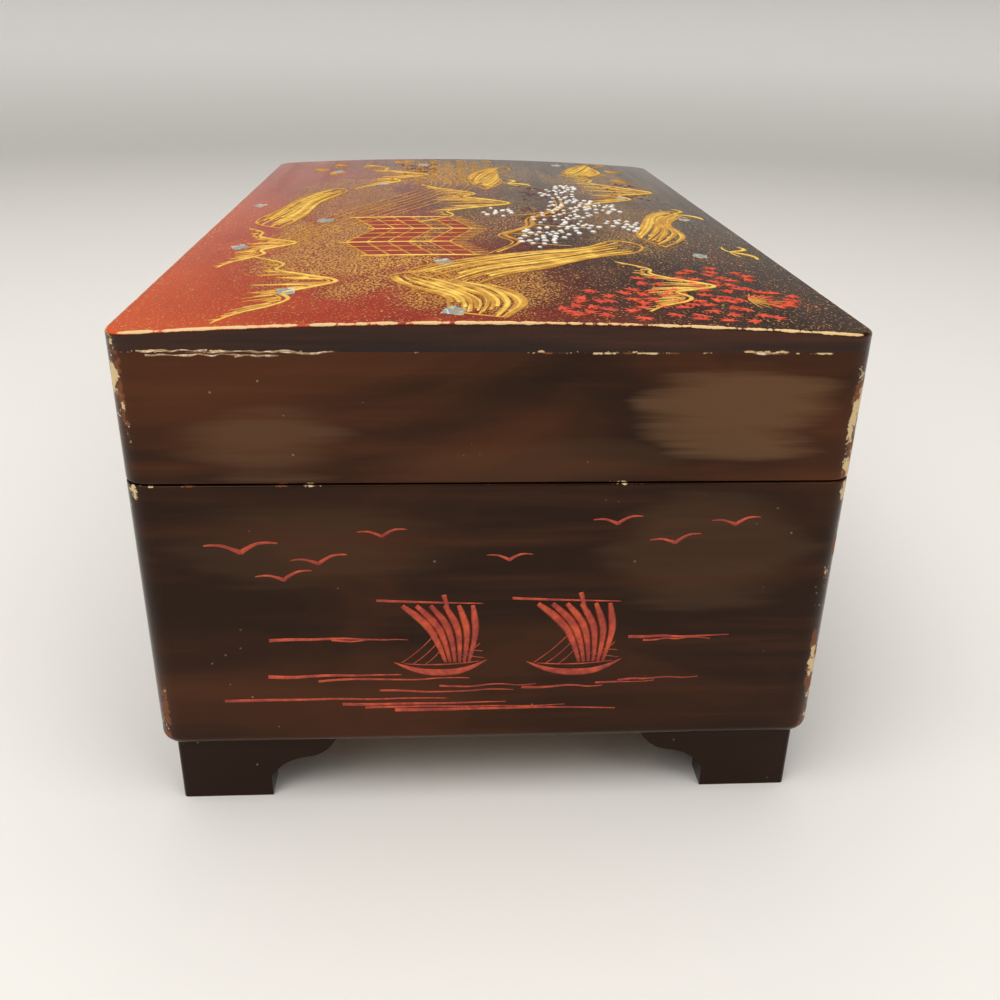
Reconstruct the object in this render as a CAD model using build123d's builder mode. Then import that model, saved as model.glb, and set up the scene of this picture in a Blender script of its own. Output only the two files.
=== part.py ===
from build123d import *
import os
from math import acos, cos, pi, radians, sin, tan

os.makedirs("parts", exist_ok=True)

# Frame: millimetres, +Z up. The origin is on the ground under the middle of the box.
# -Y is the front, where the drawer opens. +Y is the back, where the lid is hinged.

# Outer sizes of the box
case_length = 304.0
case_depth = 180.0
body_height = 77.5
lid_frame_height = 33.0
lid_board_edge = 4.2
lid_camber = 3.0
seam_gap = 0.4
corner_radius = 6.6
body_base_radius = 3.0
seam_edge_radius = 0.5
lid_edge_radius = 0.9

# Boards of the case
wall = 8.0
groove_depth = 2.0
bottom_board_thickness = 4.0
bottom_board_recess = 2.0
shelf_thickness = 3.0
shelf_height = 38.0
front_panel_lip = 2.0
base_rail_height = 9.0

# Bracket feet
foot_height = 20.5
foot_inset = 3.7
foot_board = 9.0
foot_sole_width = 25.0
foot_top_width = 44.0
foot_straight_height = 6.6
foot_cove_width = 29.4
foot_cove_height = 11.2
foot_step_width = 35.0
foot_step_height = 13.1

# Drawer
drawer_gap = 0.5
drawer_side_clearance = 0.8
drawer_side = 5.0
drawer_back_gap = 3.0
drawer_floor = 3.0
drawer_floor_rise = 1.5
drawer_pad_height = 3.5
runner_width = 9.0
runner_clearance = 0.3

# Brass hardware that stands out from the front and from the back
hardware_axis_standout = 2.2
knuckle_radius = 1.9
pivot_clearance = 0.06

# Hinges
hinge_spacing = 190.0
hinge_width = 30.0
hinge_leaf_depth = 6.4
hinge_leaf_thickness = 0.8
hinge_pin_radius = 0.9
knuckle_gap = 0.25

# Drop pull on the drawer
pull_plate_width = 46.0
pull_plate_height = 13.0
pull_plate_thickness = 0.7
bail_width = 32.0
bail_drop = 11.0
bail_wire_radius = 1.0
bail_corner = 3.6
pull_post_width = 3.4

# Lining and partitions
lining = 1.2
lining_rim = 3.0
partition = 3.0
partition_height = 27.0
left_column_width = 68.8
music_well_depth = 55.8
back_row_depth = 70.0
back_row_split = 62.0
floor_pad_height = 4.5
pad_gap = 0.4
ring_roll_count = 6
ring_roll_height = 15.0

# Lid inside
mirror_thickness = 3.0
mirror_beading_size = 5.0
mirror_edge_gap = 0.6

# Window over the movement
window_frame_height = 8.5
window_frame_side = 7.0
window_frame_back = 9.5
window_pane_thickness = 2.0
window_rebate = 2.0
window_pane_gap = 0.3

# Musical movement
bedplate_thickness = 3.0
bedplate_standoff = 2.0
bedplate_length = 62.0
bedplate_depth = 41.0
barrel_gap = 0.8
barrel_height = 9.6
barrel_wall = 0.8
barrel_play = 0.06
crown_teeth = 28
pinion_teeth = 14
crown_module = 0.8
crown_face_width = 1.3
cylinder_radius = 6.5
cylinder_arbor_radius = 1.2
pin_height = 0.5
pin_width = 0.35
comb_note_count = 18
comb_pitch = 1.0
comb_thickness = 1.0
comb_slot = 0.3
comb_clearance = 0.3
wheel_teeth = 30
governor_teeth = 10
train_module = 0.5
train_face_width = 1.4
bearing_post = 1.6
fly_radius = 4.2
fly_length = 5.0
governor_arbor_radius = 0.7

# Winding key and stop
key_arbor_radius = 1.6
key_width = 22.0
key_height = 11.0
key_thickness = 2.2
stop_rod_radius = 1.1
stop_travel = 3.0

# Small radii, gaps and stands
hinge_pin_stand = 0.4
press_gap = 0.02
tooth_play = 0.14
pressure_angle = radians(20)
crown_addendum = 0.56
crown_dedendum = 0.84
train_addendum = 0.42
train_dedendum = 0.6
barrel_floor = 0.8
barrel_cover_thickness = 0.8
post_gap = 0.3
post_half_depth = 3.6
post_cap_height = 2.6
cylinder_length = 19.0
pins_per_note = 4
comb_root_setback = 23.5
comb_riser_depth = 8.0
comb_bass_slot = 12.5
comb_treble_slot = 8.0
wheel_gap = 0.5
ear_thickness = 1.0
ear_gap = 0.4
fly_blade = 0.5
fly_hub_radius = 1.3
standoff_radius = 3.6
movement_screw_head = 2.8
movement_screw_head_height = 1.4
arbor_collar_radius = 3.2
arbor_collar_gap = 0.2
arbor_stand = 1.2
spring_strip = 0.35
spring_turns = 3
spring_edge_gap = 0.3
key_hub_radius = 3.2
key_drop = 1.4
key_hub_height = 8.0
stop_guide_radius = 3.0
stop_guide_height = 9.5
stop_guide_floor = 1.5
stop_rod_foot = 2.5
stop_arm_thickness = 1.2
stop_arm_gap = 0.3
stop_collar_radius = 2.4
stop_spring_folds = 4
stop_spring_strip = 0.5
stop_spring_reach = 2.8
stop_spring_width = 5.0
pin_offset_turn = 20.0
ear_half_depth = 2.6
cover_sink = 0.3
key_eye_radius = 2.2
key_eye_shift = 0.4
foot_corner_radius = 1.2
shelf_hole_play = 0.8
chamber_wall_thickness = 4.0
chamber_clearance = 7.0
drawer_side_drop = 2.0
drawer_edge_radius = 0.6
drawer_rim_radius = 1.5
pull_rise = 3.0
pull_plate_corner = 3.0
pull_plate_lobe = 4.4
pull_post_gap = 0.8
bail_tip_stand = 0.4
striker_width = 9.0
striker_height = 6.0
striker_reach = 3.0
striker_chamfer = 1.2
mirror_beading_quirk = 1.0
partition_rim_radius = 1.3

# Levels
body_bottom = foot_height
seam = body_bottom + body_height
lid_bottom = seam + seam_gap
lid_board_bottom = lid_bottom + lid_frame_height
bottom_board_low = body_bottom + bottom_board_recess
bottom_board_top = bottom_board_low + bottom_board_thickness
shelf_low = body_bottom + shelf_height
shelf_top = shelf_low + shelf_thickness
front_panel_low = shelf_low - front_panel_lip
base_rail_top = body_bottom + base_rail_height

# Places in plan
end_x = case_length / 2
inner_x = end_x - wall
face_y = case_depth / 2
inner_y = face_y - wall
hinge_y = face_y + hardware_axis_standout
hinge_z = seam + seam_gap / 2


def save(piece, label):
    """Label a finished piece and write it as one STEP file."""
    piece.label = label
    export_step(piece, f"parts/{label}.step")


def slab(low, high):
    """A plain board between two opposite corners, added to the piece in hand."""
    size = [b - a for a, b in zip(low, high)]
    middle = [(a + b) / 2 for a, b in zip(low, high)]
    with Locations(tuple(middle)):
        Box(*size)


def cut_slab(low, high):
    """The same board taken away, as a groove, mortise or rebate."""
    size = [b - a for a, b in zip(low, high)]
    middle = [(a + b) / 2 for a, b in zip(low, high)]
    with Locations(tuple(middle)):
        Box(*size, mode=Mode.SUBTRACT)


# End panels of the body: full-depth boards with rounded corners and a rounded foot edge
def body_end_panel(side, label):
    with BuildPart() as panel:
        with BuildSketch(Plane.XY.offset(body_bottom)):
            with Locations((side * (end_x - wall / 2), 0)):
                Rectangle(wall, case_depth)
        extrude(amount=body_height)
        upright = panel.edges().filter_by(Axis.Z).sort_by(Axis.X)
        fillet(upright[-2:] if side > 0 else upright[:2], corner_radius)
        base = panel.faces().sort_by(Axis.Z)[0].edges().sort_by(Axis.X)
        fillet(base[1:] if side > 0 else base[:-1], body_base_radius)
        rim = panel.faces().sort_by(Axis.Z)[-1].edges().sort_by(Axis.X)
        fillet(rim[1:] if side > 0 else rim[:-1], seam_edge_radius)
        groove_low = side * inner_x
        groove_deep = side * (inner_x + groove_depth)
        grooves = sorted((groove_low, groove_deep))
        reach = inner_y + groove_depth
        cut_slab((grooves[0], -reach, bottom_board_low), (grooves[1], reach, bottom_board_top))
        cut_slab((grooves[0], -reach, shelf_low), (grooves[1], reach, shelf_top))
    save(panel.part, label)


body_end_panel(1, "right_end_panel")
body_end_panel(-1, "left_end_panel")


# Hinge mortises, cut alike in the back wall and in the back board of the lid
hinge_places = (-hinge_spacing / 2, hinge_spacing / 2)


def cut_hinge_mortises(low, high):
    for x in hinge_places:
        cut_slab(
            (x - hinge_width / 2, face_y - hinge_leaf_depth, low),
            (x + hinge_width / 2, face_y, high),
        )


# Back wall between the end panels
with BuildPart() as back_panel:
    with BuildSketch(Plane.XY.offset(body_bottom)):
        with Locations((0, face_y - wall / 2)):
            Rectangle(2 * inner_x, wall)
    extrude(amount=body_height)
    outer_edges = back_panel.edges().filter_by(Axis.X).group_by(Axis.Y)[-1].sort_by(Axis.Z)
    fillet(outer_edges[0], body_base_radius)
    fillet(back_panel.edges().filter_by(Axis.X).group_by(Axis.Y)[-1].sort_by(Axis.Z)[-1], seam_edge_radius)
    cut_slab((-inner_x, inner_y, bottom_board_low), (inner_x, inner_y + groove_depth, bottom_board_top))
    cut_slab((-inner_x, inner_y, shelf_low), (inner_x, inner_y + groove_depth, shelf_top))
    cut_hinge_mortises(seam - hinge_leaf_thickness, seam)
save(back_panel.part, "back_panel")

# Fixed front above the drawer, with a lip under the shelf
with BuildPart() as front_panel:
    with BuildSketch(Plane.XY.offset(front_panel_low)):
        with Locations((0, -face_y + wall / 2)):
            Rectangle(2 * inner_x, wall)
    extrude(amount=seam - front_panel_low)
    fillet(front_panel.edges().filter_by(Axis.X).group_by(Axis.Y)[0].sort_by(Axis.Z)[-1], seam_edge_radius)
    fillet(front_panel.edges().filter_by(Axis.X).group_by(Axis.Y)[0].sort_by(Axis.Z)[0], seam_edge_radius)
    cut_slab((-inner_x, -inner_y - groove_depth, shelf_low), (inner_x, -inner_y, shelf_top))
save(front_panel.part, "front_panel")

# Rail under the drawer
with BuildPart() as base_rail:
    with BuildSketch(Plane.XY.offset(body_bottom)):
        with Locations((0, -face_y + wall / 2)):
            Rectangle(2 * inner_x, wall)
    extrude(amount=base_rail_height)
    fillet(base_rail.edges().filter_by(Axis.X).group_by(Axis.Y)[0].sort_by(Axis.Z)[0], body_base_radius)
    fillet(base_rail.edges().filter_by(Axis.X).group_by(Axis.Y)[0].sort_by(Axis.Z)[-1], seam_edge_radius)
    cut_slab((-inner_x, -inner_y - groove_depth, bottom_board_low), (inner_x, -inner_y, bottom_board_top))
save(base_rail.part, "base_rail")

# Plywood bottom in the grooves, with holes for the winding key and the movement's screws
well_low_x = -inner_x + lining
barrel_x = well_low_x + 20.0
movement_y = inner_y - 28.0
bedplate_low_x = well_low_x + 6.0
bedplate_high_x = bedplate_low_x + bedplate_length
bedplate_low_y = movement_y - bedplate_depth + 17.0
bedplate_high_y = bedplate_low_y + bedplate_depth
bedplate_low = bottom_board_top + bedplate_standoff
bedplate_top = bedplate_low + bedplate_thickness
bedplate_screw_inset = 4.0
bedplate_screw_radius = 1.4
key_hole_radius = key_arbor_radius + 1.4
bedplate_screws = [
    (bedplate_low_x + bedplate_screw_inset, bedplate_low_y + bedplate_screw_inset),
    (bedplate_low_x + bedplate_screw_inset, bedplate_high_y - bedplate_screw_inset),
    (bedplate_high_x - bedplate_screw_inset, bedplate_low_y + bedplate_screw_inset),
]

with BuildPart() as bottom_board:
    reach_x = inner_x + groove_depth
    reach_y = inner_y + groove_depth
    slab((-reach_x, -reach_y, bottom_board_low), (reach_x, reach_y, bottom_board_top))
    with Locations((barrel_x, movement_y, bottom_board_top)):
        Hole(key_hole_radius)
    with Locations(*[(x, y, bottom_board_top) for x, y in bedplate_screws]):
        Hole(bedplate_screw_radius + pivot_clearance)
save(bottom_board.part, "bottom_board")

# Bracket feet: two boards butted at the corner, each sawn to an ogee on its inner edge
foot_plane_x = end_x - foot_inset
foot_plane_y = face_y - foot_inset


def ogee_face():
    """Outline of a bracket board: x runs from the corner inwards, y runs up."""
    with BuildLine() as outline:
        Line((0, 0), (foot_sole_width, 0))
        Line((foot_sole_width, 0), (foot_sole_width, foot_straight_height))
        cove_start = (foot_sole_width, foot_straight_height)
        step = (foot_step_width, foot_step_height)
        cove = ThreePointArc(cove_start, (foot_cove_width, foot_cove_height), step)
        TangentArc(step, (foot_top_width, foot_height), tangent=cove % 1)
        Line((foot_top_width, foot_height), (0, foot_height))
        Line((0, foot_height), (0, 0))
    make_face(outline.edges())


def bracket_foot(side_x, side_y):
    corner = (side_x * foot_plane_x, side_y * foot_plane_y, 0)
    turn = side_x * side_y
    with BuildPart() as foot:
        with BuildSketch(Plane(origin=corner, x_dir=(0, -side_y, 0), z_dir=(-side_y, 0, 0))):
            ogee_face()
        extrude(amount=turn * foot_board)
        with BuildSketch(Plane(origin=corner, x_dir=(-side_x, 0, 0), z_dir=(0, side_x, 0))):
            ogee_face()
        extrude(amount=-turn * foot_board)
        outer = foot.edges().filter_by(Axis.Z).sort_by(Axis.X)
        outer = outer.group_by(Axis.X)[-1 if side_x > 0 else 0].sort_by(Axis.Y)
        fillet(outer[-1 if side_y > 0 else 0], foot_corner_radius)
    return foot.part


with BuildPart() as feet_front:
    add(bracket_foot(-1, -1))
    add(bracket_foot(1, -1))
save(feet_front.part, "feet_front")

with BuildPart() as feet_back:
    add(bracket_foot(-1, 1))
    add(bracket_foot(1, 1))
save(feet_back.part, "feet_back")

# Shelf between the upper compartments and the drawer, open over the movement
well_high_x = well_low_x + left_column_width
well_low_y = inner_y - lining - music_well_depth
well_high_y = inner_y - lining
view_low_x = well_low_x + window_frame_side
view_high_x = well_high_x - window_frame_side
view_low_y = well_low_y + window_frame_side
view_high_y = well_high_y - window_frame_back
stop_x = view_high_x
stop_y = well_high_y - window_frame_back / 2

with BuildPart() as shelf:
    reach_x = inner_x + groove_depth
    reach_y = inner_y + groove_depth
    slab((-reach_x, -reach_y, shelf_low), (reach_x, reach_y, shelf_top))
    cut_slab((view_low_x, view_low_y, shelf_low), (view_high_x, view_high_y, shelf_top))
    with Locations((stop_x, stop_y, shelf_top)):
        Hole(stop_rod_radius + shelf_hole_play)
save(shelf.part, "shelf")

# Wall that closes the movement's chamber behind the drawer
chamber_wall_y = bedplate_low_y - chamber_clearance - chamber_wall_thickness
with BuildPart() as chamber_wall:
    slab((-inner_x, chamber_wall_y, bottom_board_top), (inner_x, chamber_wall_y + chamber_wall_thickness, shelf_low))
save(chamber_wall.part, "chamber_wall")

# Hardwood strips that carry the drawer past the rail
drawer_low = base_rail_top + drawer_gap
drawer_outer_x = inner_x - drawer_side_clearance
with BuildPart() as drawer_runners:
    for side in (-1, 1):
        edge_x = sorted((side * inner_x, side * (inner_x - runner_width)))
        slab((edge_x[0], -inner_y, bottom_board_top), (edge_x[1], chamber_wall_y, drawer_low - runner_clearance))
save(drawer_runners.part, "drawer_runners")

# Drawer: inset front, two sides, back and a plywood floor
drawer_top = front_panel_low - drawer_gap
drawer_back_y = chamber_wall_y - drawer_back_gap - drawer_side
drawer_side_top = drawer_top - drawer_side_drop
drawer_floor_low = drawer_low + drawer_floor_rise
drawer_floor_top = drawer_floor_low + drawer_floor

with BuildPart() as drawer_front:
    half_x = inner_x - drawer_gap
    slab((-half_x, -face_y, drawer_low), (half_x, -inner_y, drawer_top))
    fillet(drawer_front.faces().sort_by(Axis.Y)[0].edges(), drawer_edge_radius)
save(drawer_front.part, "drawer_front")


with BuildPart() as drawer_sides:
    for side in (-1, 1):
        edge_x = sorted((side * drawer_outer_x, side * (drawer_outer_x - drawer_side)))
        slab((edge_x[0], -inner_y, drawer_low), (edge_x[1], drawer_back_y + drawer_side, drawer_side_top))
    fillet(drawer_sides.edges().filter_by(Axis.Y).group_by(Axis.Z)[-1], drawer_rim_radius)
save(drawer_sides.part, "drawer_sides")

with BuildPart() as drawer_back:
    half_x = drawer_outer_x - drawer_side
    slab((-half_x, drawer_back_y, drawer_low), (half_x, drawer_back_y + drawer_side, drawer_side_top))
    fillet(drawer_back.edges().filter_by(Axis.X).group_by(Axis.Z)[-1], drawer_rim_radius)
save(drawer_back.part, "drawer_back")

with BuildPart() as drawer_bottom:
    half_x = drawer_outer_x - drawer_side
    slab((-half_x, -inner_y, drawer_floor_low), (half_x, drawer_back_y, drawer_floor_top))
save(drawer_bottom.part, "drawer_bottom")

# Velvet pad lying in the drawer: a thin cushion with rolled edges
with BuildPart() as drawer_pad:
    half_x = drawer_outer_x - drawer_side - pad_gap
    slab(
        (-half_x, -inner_y + pad_gap, drawer_floor_top),
        (half_x, drawer_back_y - pad_gap, drawer_floor_top + drawer_pad_height),
    )
    fillet(drawer_pad.faces().sort_by(Axis.Z)[-1].edges(), drawer_pad_height / 2)
save(drawer_pad.part, "drawer_pad")

# Drop pull: a backplate cast with two drilled posts, and a wire bail that turns in them
pull_z = (drawer_low + drawer_top) / 2 + pull_rise
pull_y = -hinge_y
post_x = bail_width / 2

with BuildPart() as pull_plate:
    with BuildSketch(Plane.XZ.offset(face_y)):
        with Locations((0, pull_z - pull_rise)):
            RectangleRounded(pull_plate_width, pull_plate_height, pull_plate_corner)
            with Locations((-pull_plate_width / 2, 0), (pull_plate_width / 2, 0)):
                Circle(pull_plate_lobe)
    extrude(amount=pull_plate_thickness)
    for side in (-1, 1):
        middle_x = side * (post_x + bail_wire_radius + pull_post_gap + pull_post_width / 2)
        with BuildSketch(Plane.YZ.offset(middle_x - pull_post_width / 2)):
            with Locations((pull_y, pull_z)):
                Circle(knuckle_radius)
            with Locations(((pull_y - face_y) / 2, pull_z)):
                Rectangle(-face_y - pull_y, 2 * knuckle_radius)
            with Locations((pull_y, pull_z)):
                Circle(bail_wire_radius + pivot_clearance, mode=Mode.SUBTRACT)
        extrude(amount=pull_post_width)
save(pull_plate.part, "pull_plate")

bail_tip_x = post_x + bail_wire_radius + pull_post_gap + pull_post_width + bail_tip_stand
bail_corner_x = post_x - bail_corner
bail_corner_z = pull_z - bail_drop + bail_corner
with BuildPart() as drawer_bail:
    with BuildLine() as bail_wire:
        Polyline(
            (-bail_tip_x, pull_y, pull_z),
            (-post_x, pull_y, pull_z),
            (-post_x, pull_y, bail_corner_z),
            (-bail_corner_x, pull_y, pull_z - bail_drop),
            (bail_corner_x, pull_y, pull_z - bail_drop),
            (post_x, pull_y, bail_corner_z),
            (post_x, pull_y, pull_z),
            (bail_tip_x, pull_y, pull_z),
        )
    with BuildSketch(Plane(origin=bail_wire.line @ 0, z_dir=bail_wire.line % 0)):
        Circle(bail_wire_radius)
    sweep(transition=Transition.RIGHT)
save(drawer_bail.part, "drawer_bail")

# Lid frame: four boards like those of the body
def lid_end_board(side, label):
    with BuildPart() as board:
        with BuildSketch(Plane.XY.offset(lid_bottom)):
            with Locations((side * (end_x - wall / 2), 0)):
                Rectangle(wall, case_depth)
        extrude(amount=lid_frame_height)
        upright = board.edges().filter_by(Axis.Z).sort_by(Axis.X)
        fillet(upright[-2:] if side > 0 else upright[:2], corner_radius)
        rim = board.faces().sort_by(Axis.Z)[0].edges().sort_by(Axis.X)
        fillet(rim[1:] if side > 0 else rim[:-1], seam_edge_radius)
    save(board.part, label)


lid_end_board(1, "lid_right_board")
lid_end_board(-1, "lid_left_board")

with BuildPart() as lid_front_board:
    slab((-inner_x, -face_y, lid_bottom), (inner_x, -inner_y, lid_board_bottom))
    fillet(lid_front_board.edges().filter_by(Axis.X).group_by(Axis.Y)[0].sort_by(Axis.Z)[0], seam_edge_radius)
save(lid_front_board.part, "lid_front_board")

with BuildPart() as lid_back_board:
    slab((-inner_x, inner_y, lid_bottom), (inner_x, face_y, lid_board_bottom))
    fillet(lid_back_board.edges().filter_by(Axis.X).group_by(Axis.Y)[-1].sort_by(Axis.Z)[0], seam_edge_radius)
    cut_hinge_mortises(lid_bottom, lid_bottom + hinge_leaf_thickness)
save(lid_back_board.part, "lid_back_board")

# Cambered top board of the lid
with BuildPart() as lid_board:
    with BuildSketch(Plane.YZ.offset(-end_x)):
        with BuildLine():
            board_edge = lid_board_bottom + lid_board_edge
            Polyline(
                (-face_y, board_edge),
                (-face_y, lid_board_bottom),
                (face_y, lid_board_bottom),
                (face_y, board_edge),
            )
            ThreePointArc((-face_y, board_edge), (0, board_edge + lid_camber), (face_y, board_edge))
        make_face()
    extrude(amount=case_length)
    fillet(lid_board.edges().filter_by(Axis.Z), corner_radius)
    fillet(lid_board.faces().sort_by(Axis.Z)[-1].edges(), lid_edge_radius)
save(lid_board.part, "lid_board")

# Mirror let into the lid, and the quarter-round beading that holds it
mirror_x = inner_x - mirror_edge_gap
mirror_y = inner_y - mirror_edge_gap
mirror_low = lid_board_bottom - mirror_thickness
with BuildPart() as lid_mirror:
    slab((-mirror_x, -mirror_y, mirror_low), (mirror_x, mirror_y, lid_board_bottom))
save(lid_mirror.part, "lid_mirror")

with BuildPart() as mirror_beading:
    with BuildSketch(Plane.XY.offset(mirror_low - mirror_beading_size)):
        Rectangle(2 * inner_x, 2 * inner_y)
        Rectangle(2 * (inner_x - mirror_beading_size), 2 * (inner_y - mirror_beading_size), mode=Mode.SUBTRACT)
    extrude(amount=mirror_beading_size)
    bead_edges = mirror_beading.faces().sort_by(Axis.Z)[0].inner_wires()[0].edges()
    fillet(bead_edges, mirror_beading_size - mirror_beading_quirk)
save(mirror_beading.part, "mirror_beading")

# Striker on the lid's back board, which presses the stop rod down as the lid shuts
with BuildPart() as lid_striker:
    slab(
        (stop_x - striker_width / 2, stop_y - striker_reach, lid_bottom),
        (stop_x + striker_width / 2, inner_y, lid_bottom + striker_height),
    )
    front_edges = lid_striker.edges().filter_by(Axis.X).group_by(Axis.Y)[0]
    chamfer(front_edges, striker_chamfer)
save(lid_striker.part, "lid_striker")


# Covered card strips that line the four walls, as one ring
def lining_ring(low, high):
    with BuildSketch(Plane.XY.offset(low)) as ring:
        Rectangle(2 * inner_x, 2 * inner_y)
        Rectangle(2 * (inner_x - lining), 2 * (inner_y - lining), mode=Mode.SUBTRACT)
    extrude(ring.sketch, amount=high - low)


with BuildPart() as wall_lining:
    lining_ring(shelf_top, seam - lining_rim)
save(wall_lining.part, "wall_lining")

with BuildPart() as lid_lining:
    lining_ring(lid_bottom + lining_rim, mirror_low - mirror_beading_size)
    cut_slab(
        (stop_x - striker_width / 2 - pad_gap, 0, lid_bottom + lining_rim),
        (stop_x + striker_width / 2 + pad_gap, inner_y, lid_bottom + striker_height + pad_gap),
    )
save(lid_lining.part, "lid_lining")

# Partitions of the upper compartments
partition_top = shelf_top + partition_height
room_low_x = well_high_x + partition
row_low_y = inner_y - lining - back_row_depth
room_high_x = inner_x - lining
room_low_y = -inner_y + lining
split_x = room_high_x - back_row_split


def partition_board(low, high, label):
    with BuildPart() as board:
        slab((*low, shelf_top), (*high, partition_top))
        long_axis = Axis.X if high[0] - low[0] > high[1] - low[1] else Axis.Y
        fillet(board.edges().filter_by(long_axis).group_by(Axis.Z)[-1], partition_rim_radius)
    save(board.part, label)


partition_board((well_high_x, room_low_y), (room_low_x, well_high_y), "partition_left")
partition_board((well_low_x, well_low_y - partition), (well_high_x, well_low_y), "partition_well")
partition_board((room_low_x, row_low_y - partition), (room_high_x, row_low_y), "partition_middle")
partition_board((split_x - partition, row_low_y), (split_x, well_high_y), "partition_back")


# Velvet pads in the three open compartments, each a cushion with rolled edges
pad_rooms = [
    ((room_low_x, room_low_y), (room_high_x, row_low_y - partition)),
    ((room_low_x, row_low_y), (split_x - partition, well_high_y)),
    ((split_x, row_low_y), (room_high_x, well_high_y)),
]
with BuildPart() as floor_pads:
    for low, high in pad_rooms:
        slab(
            (low[0] + pad_gap, low[1] + pad_gap, shelf_top),
            (high[0] - pad_gap, high[1] - pad_gap, shelf_top + floor_pad_height),
        )
    fillet(floor_pads.faces().sort_by(Axis.Z)[-3:].edges(), floor_pad_height / 2)
save(floor_pads.part, "floor_pads")

# Ring rolls: padded bars side by side, with the rings held in the creases
roll_pitch = left_column_width / ring_roll_count
roll_radius = (roll_pitch - pad_gap) / 2
with BuildPart() as ring_rolls:
    with BuildSketch(Plane.XZ.offset(-(room_low_y + pad_gap))):
        for i in range(ring_roll_count):
            roll_x = well_low_x + roll_pitch * (i + 0.5)
            crown_z = shelf_top + ring_roll_height - roll_radius
            with Locations((roll_x, crown_z)):
                Circle(roll_radius)
            with Locations((roll_x, (shelf_top + crown_z) / 2)):
                Rectangle(2 * roll_radius, crown_z - shelf_top)
    extrude(amount=-(well_low_y - partition - room_low_y - 2 * pad_gap))
save(ring_rolls.part, "ring_rolls")

# Frame and pane over the movement
frame_top = shelf_top + window_frame_height
pane_low = frame_top - window_pane_thickness
with BuildPart() as window_frame:
    slab(
        (well_low_x + pad_gap, well_low_y + pad_gap, shelf_top),
        (well_high_x - pad_gap, well_high_y - pad_gap, frame_top),
    )
    cut_slab((view_low_x, view_low_y, shelf_top), (view_high_x, view_high_y, frame_top))
    cut_slab(
        (view_low_x - window_rebate, view_low_y - window_rebate, pane_low),
        (view_high_x + window_rebate, view_high_y + window_rebate, frame_top),
    )
    with Locations((stop_x, stop_y, frame_top)):
        Hole(stop_rod_radius + pivot_clearance)
save(window_frame.part, "window_frame")

with BuildPart() as window_pane:
    grow = window_rebate - window_pane_gap
    slab(
        (view_low_x - grow, view_low_y - grow, pane_low),
        (view_high_x + grow, view_high_y + grow, frame_top),
    )
save(window_pane.part, "window_pane")


# Butt hinges: three knuckles each, two on the body leaf and one on the lid leaf
knuckle_length = (hinge_width - 2 * knuckle_gap) / 3
leaf_low_y = face_y - hinge_leaf_depth


def knuckle(x_low, length):
    with BuildSketch(Plane.YZ.offset(x_low)) as ring:
        with Locations((hinge_y, hinge_z)):
            Circle(knuckle_radius)
    extrude(ring.sketch, amount=length)


def leaf(place, z_low, knuckle_starts):
    slab(
        (place - hinge_width / 2, leaf_low_y, z_low),
        (place + hinge_width / 2, face_y, z_low + hinge_leaf_thickness),
    )
    for start in knuckle_starts:
        slab((start, face_y, z_low), (start + knuckle_length, hinge_y, z_low + hinge_leaf_thickness))
        knuckle(start, knuckle_length)


def bore_knuckles():
    with Locations((0, hinge_y, hinge_z)):
        Cylinder(
            hinge_pin_radius + pivot_clearance, case_length, rotation=(0, 90, 0), mode=Mode.SUBTRACT
        )


with BuildPart() as hinge_body_leaves:
    for place in hinge_places:
        first = place - hinge_width / 2
        leaf(place, seam - hinge_leaf_thickness, (first, place + hinge_width / 2 - knuckle_length))
    bore_knuckles()
save(hinge_body_leaves.part, "hinge_body_leaves")

with BuildPart() as hinge_lid_leaves:
    for place in hinge_places:
        leaf(place, lid_bottom, (place - knuckle_length / 2,))
    bore_knuckles()
save(hinge_lid_leaves.part, "hinge_lid_leaves")

with BuildPart() as hinge_pins:
    with Locations(*[(place, hinge_y, hinge_z) for place in hinge_places]):
        Cylinder(hinge_pin_radius, hinge_width + 2 * hinge_pin_stand, rotation=(0, 90, 0))
save(hinge_pins.part, "hinge_pins")


# Gear teeth: involute flanks drawn through three radii
def gear_face(teeth, module, addendum, dedendum, bore, first_tooth):
    pitch = teeth * module / 2
    base = pitch * cos(pressure_angle)
    half_pitch_angle = pi / (2 * teeth) - tooth_play / (4 * pitch)

    def flank(radius):
        lean = 0.0
        if radius > base:
            angle = acos(base / radius)
            lean = tan(angle) - angle
        rise = tan(pressure_angle) - pressure_angle
        half = half_pitch_angle + rise - lean
        return radius * cos(half), radius * sin(half)

    root = pitch - dedendum
    Circle(root)
    upper = [flank(radius) for radius in (root - module / 4, pitch, pitch + addendum)]
    lower = [(x, -y) for x, y in reversed(upper)]
    with PolarLocations(0, teeth, start_angle=first_tooth):
        Polygon(*upper, *lower, align=None)
    Circle(bore, mode=Mode.SUBTRACT)


# Heights of the movement, from the bedplate up
drum_low = bedplate_top + barrel_gap
drum_rim = drum_low + barrel_height
crown_plane = drum_rim + crown_dedendum
crown_radius = crown_teeth * crown_module / 2
drum_radius = crown_radius + crown_face_width / 2
drum_inner = crown_radius - crown_face_width / 2
pinion_radius = pinion_teeth * crown_module / 2
axis_z = crown_plane + pinion_radius
wheel_radius = wheel_teeth * train_module / 2
governor_radius = governor_teeth * train_module / 2
governor_y = movement_y + wheel_radius + governor_radius

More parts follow.
